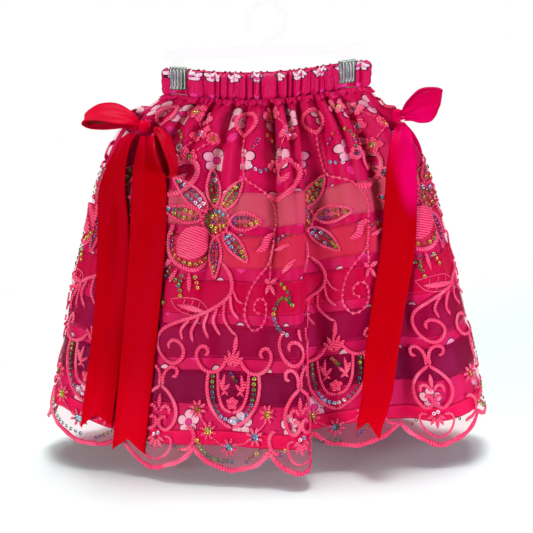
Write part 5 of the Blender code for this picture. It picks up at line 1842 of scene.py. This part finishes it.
@dataclass
class Studio:
    """A pale floor, soft lights and a camera where the photograph was taken from."""

    target: tuple[float, float, float] = (0.0, 0.0, -0.2615)
    azimuth: float = -3.0
    elevation: float = 12.5
    distance: float = 1.25
    metres_per_pixel: float = 0.00102
    pixels: int = 533
    lights: tuple = (
        # name, kind, place, size in metres or degrees, strength, colour
        ("overhead", "SUN", (0.04, 0.3, 1.2), 26.0, 2.8, (1.0, 1.0, 1.0)),
        ("key", "SUN", (-0.92, -0.95, -0.05), 20.0, 2.35, (1.0, 1.0, 1.0)),
        ("softbox_right", "AREA", (1.35, -0.75, -0.38), 0.4, 16.0, (1.0, 0.5, 1.0)),
    )
    sky_strength: float = 0.17
    gap: float = 0.009
    floor_x: tuple[float, float] = (-0.7, 0.7)
    floor_y: tuple[float, float] = (0.7, -0.5)
    floor_points: int = 9
    film: float = 36.0

    def build(self) -> None:
        """Makes the floor, the lights, the world and the camera."""
        self.floor(min(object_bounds()[0][2], cad_box[0][2]) - self.gap)
        for name, kind, place, size, strength, colour in self.lights:
            lamp = bpy.data.lights.new(name, kind)
            lamp.energy = strength
            lamp.color = colour
            if kind == "SUN":
                lamp.angle = math.radians(size)
            else:
                lamp.size = size
            holder = bpy.data.objects.new(name, lamp)
            holder.location = place
            holder.rotation_euler = self.facing(np.array(place))
            bpy.context.scene.collection.objects.link(holder)
        self.sky()
        bpy.context.scene.view_settings.view_transform = "Standard"
        self.camera()

    def sky(self) -> None:
        """A white sky that is dimmer as a light than it looks, so that folds keep their shade."""
        world = bpy.data.worlds.new("studio")
        world.use_nodes = True
        nodes, links = world.node_tree.nodes, world.node_tree.links
        lamp = nodes["Background"]
        lamp.inputs["Color"].default_value = (1, 1, 1, 1)
        lamp.inputs["Strength"].default_value = self.sky_strength
        seen = nodes.new("ShaderNodeBackground")
        seen.inputs["Color"].default_value = (1, 1, 1, 1)
        both = nodes.new("ShaderNodeMixShader")
        links.new(nodes.new("ShaderNodeLightPath").outputs["Is Camera Ray"], both.inputs[0])
        links.new(lamp.outputs[0], both.inputs[1])
        links.new(seen.outputs[0], both.inputs[2])
        links.new(both.outputs[0], nodes["World Output"].inputs["Surface"])
        bpy.context.scene.world = world

    def facing(self, place: Points) -> tuple[float, float, float]:
        """The turn that points a lamp or camera at place towards the target."""
        x, y, z = np.array(self.target) - place
        return (math.atan2(math.hypot(x, y), -z), 0.0, math.atan2(y, x) - math.pi / 2)

    def camera(self) -> None:
        """Sets the camera at the photograph's angle and framing."""
        az, el = math.radians(self.azimuth), math.radians(self.elevation)
        back = np.array([math.sin(az) * math.cos(el), -math.cos(az) * math.cos(el), math.sin(el)])
        camera = bpy.data.cameras.new("camera")
        camera.sensor_width = self.film
        camera.lens = self.film * self.distance / (self.pixels * self.metres_per_pixel)
        holder = bpy.data.objects.new("camera", camera)
        holder.location = np.array(self.target) + back * self.distance
        holder.rotation_euler = self.facing(np.array(holder.location))
        bpy.context.scene.collection.objects.link(holder)
        bpy.context.scene.camera = holder

    def floor(self, height: float) -> None:
        """A small floor, just broad enough for the shadow, so that it throws little light back up."""
        count = self.floor_points
        x, y = np.meshgrid(np.linspace(*self.floor_x, count), np.linspace(*self.floor_y, count))
        points = np.stack([x, y, np.full_like(x, height)], axis=-1).reshape(-1, 3)
        look = Floor("studio_floor", (0.85, 0.96, 0.94), 0.9).build()
        make_mesh("studio_floor", points, quads_of(count, count), points[:, :2], look)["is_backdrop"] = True


def area_of(piece: Piece) -> float:
    """The area of a sheet's mesh before it is thickened, in square metres."""
    return sum(face.area for face in piece.data.polygons)


def main() -> None:
    """Builds the skirt, its bows and its hanger, and logs each piece's area and each cut."""
    logging.basicConfig(level=logging.INFO, format="%(name)s: %(message)s")
    cloth = HangingCloth()
    skirt = Skirt(cloth)
    pieces = skirt.build()
    band, bows = Waistband(cloth), Bows()
    pieces |= band.build()
    pieces |= bows.build()
    pieces |= Clips().build(cloth)
    stitching = Embroidery(skirt).build()
    plastic = ClearPlastic("clear_plastic", srgb(245, 248, 250), 0.12).build()
    frame["nodes"]["hanger"].data.materials.clear()
    frame["nodes"]["hanger"].data.materials.append(plastic)
    slots = {row["node"]: row["material_slot"] for row in frame["record"]["subparts"]}
    slots |= {"frill": "waistband_print"}
    for node, piece in (pieces | stitching).items():
        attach(piece, "root")
        if node in frame["nodes"]:
            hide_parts(node)
        log.info("%s: %.4f m2, %d faces", piece.name, area_of(piece), len(piece.data.polygons))
    pieces |= stitching
    for node, cut in (skirt.cuts() | band.cuts() | bows.cuts()).items():
        log.info("%s: cut %.3f x %.3f m", node, *cut.flat)
    Studio().build()


if __name__ == "__main__":
    main()
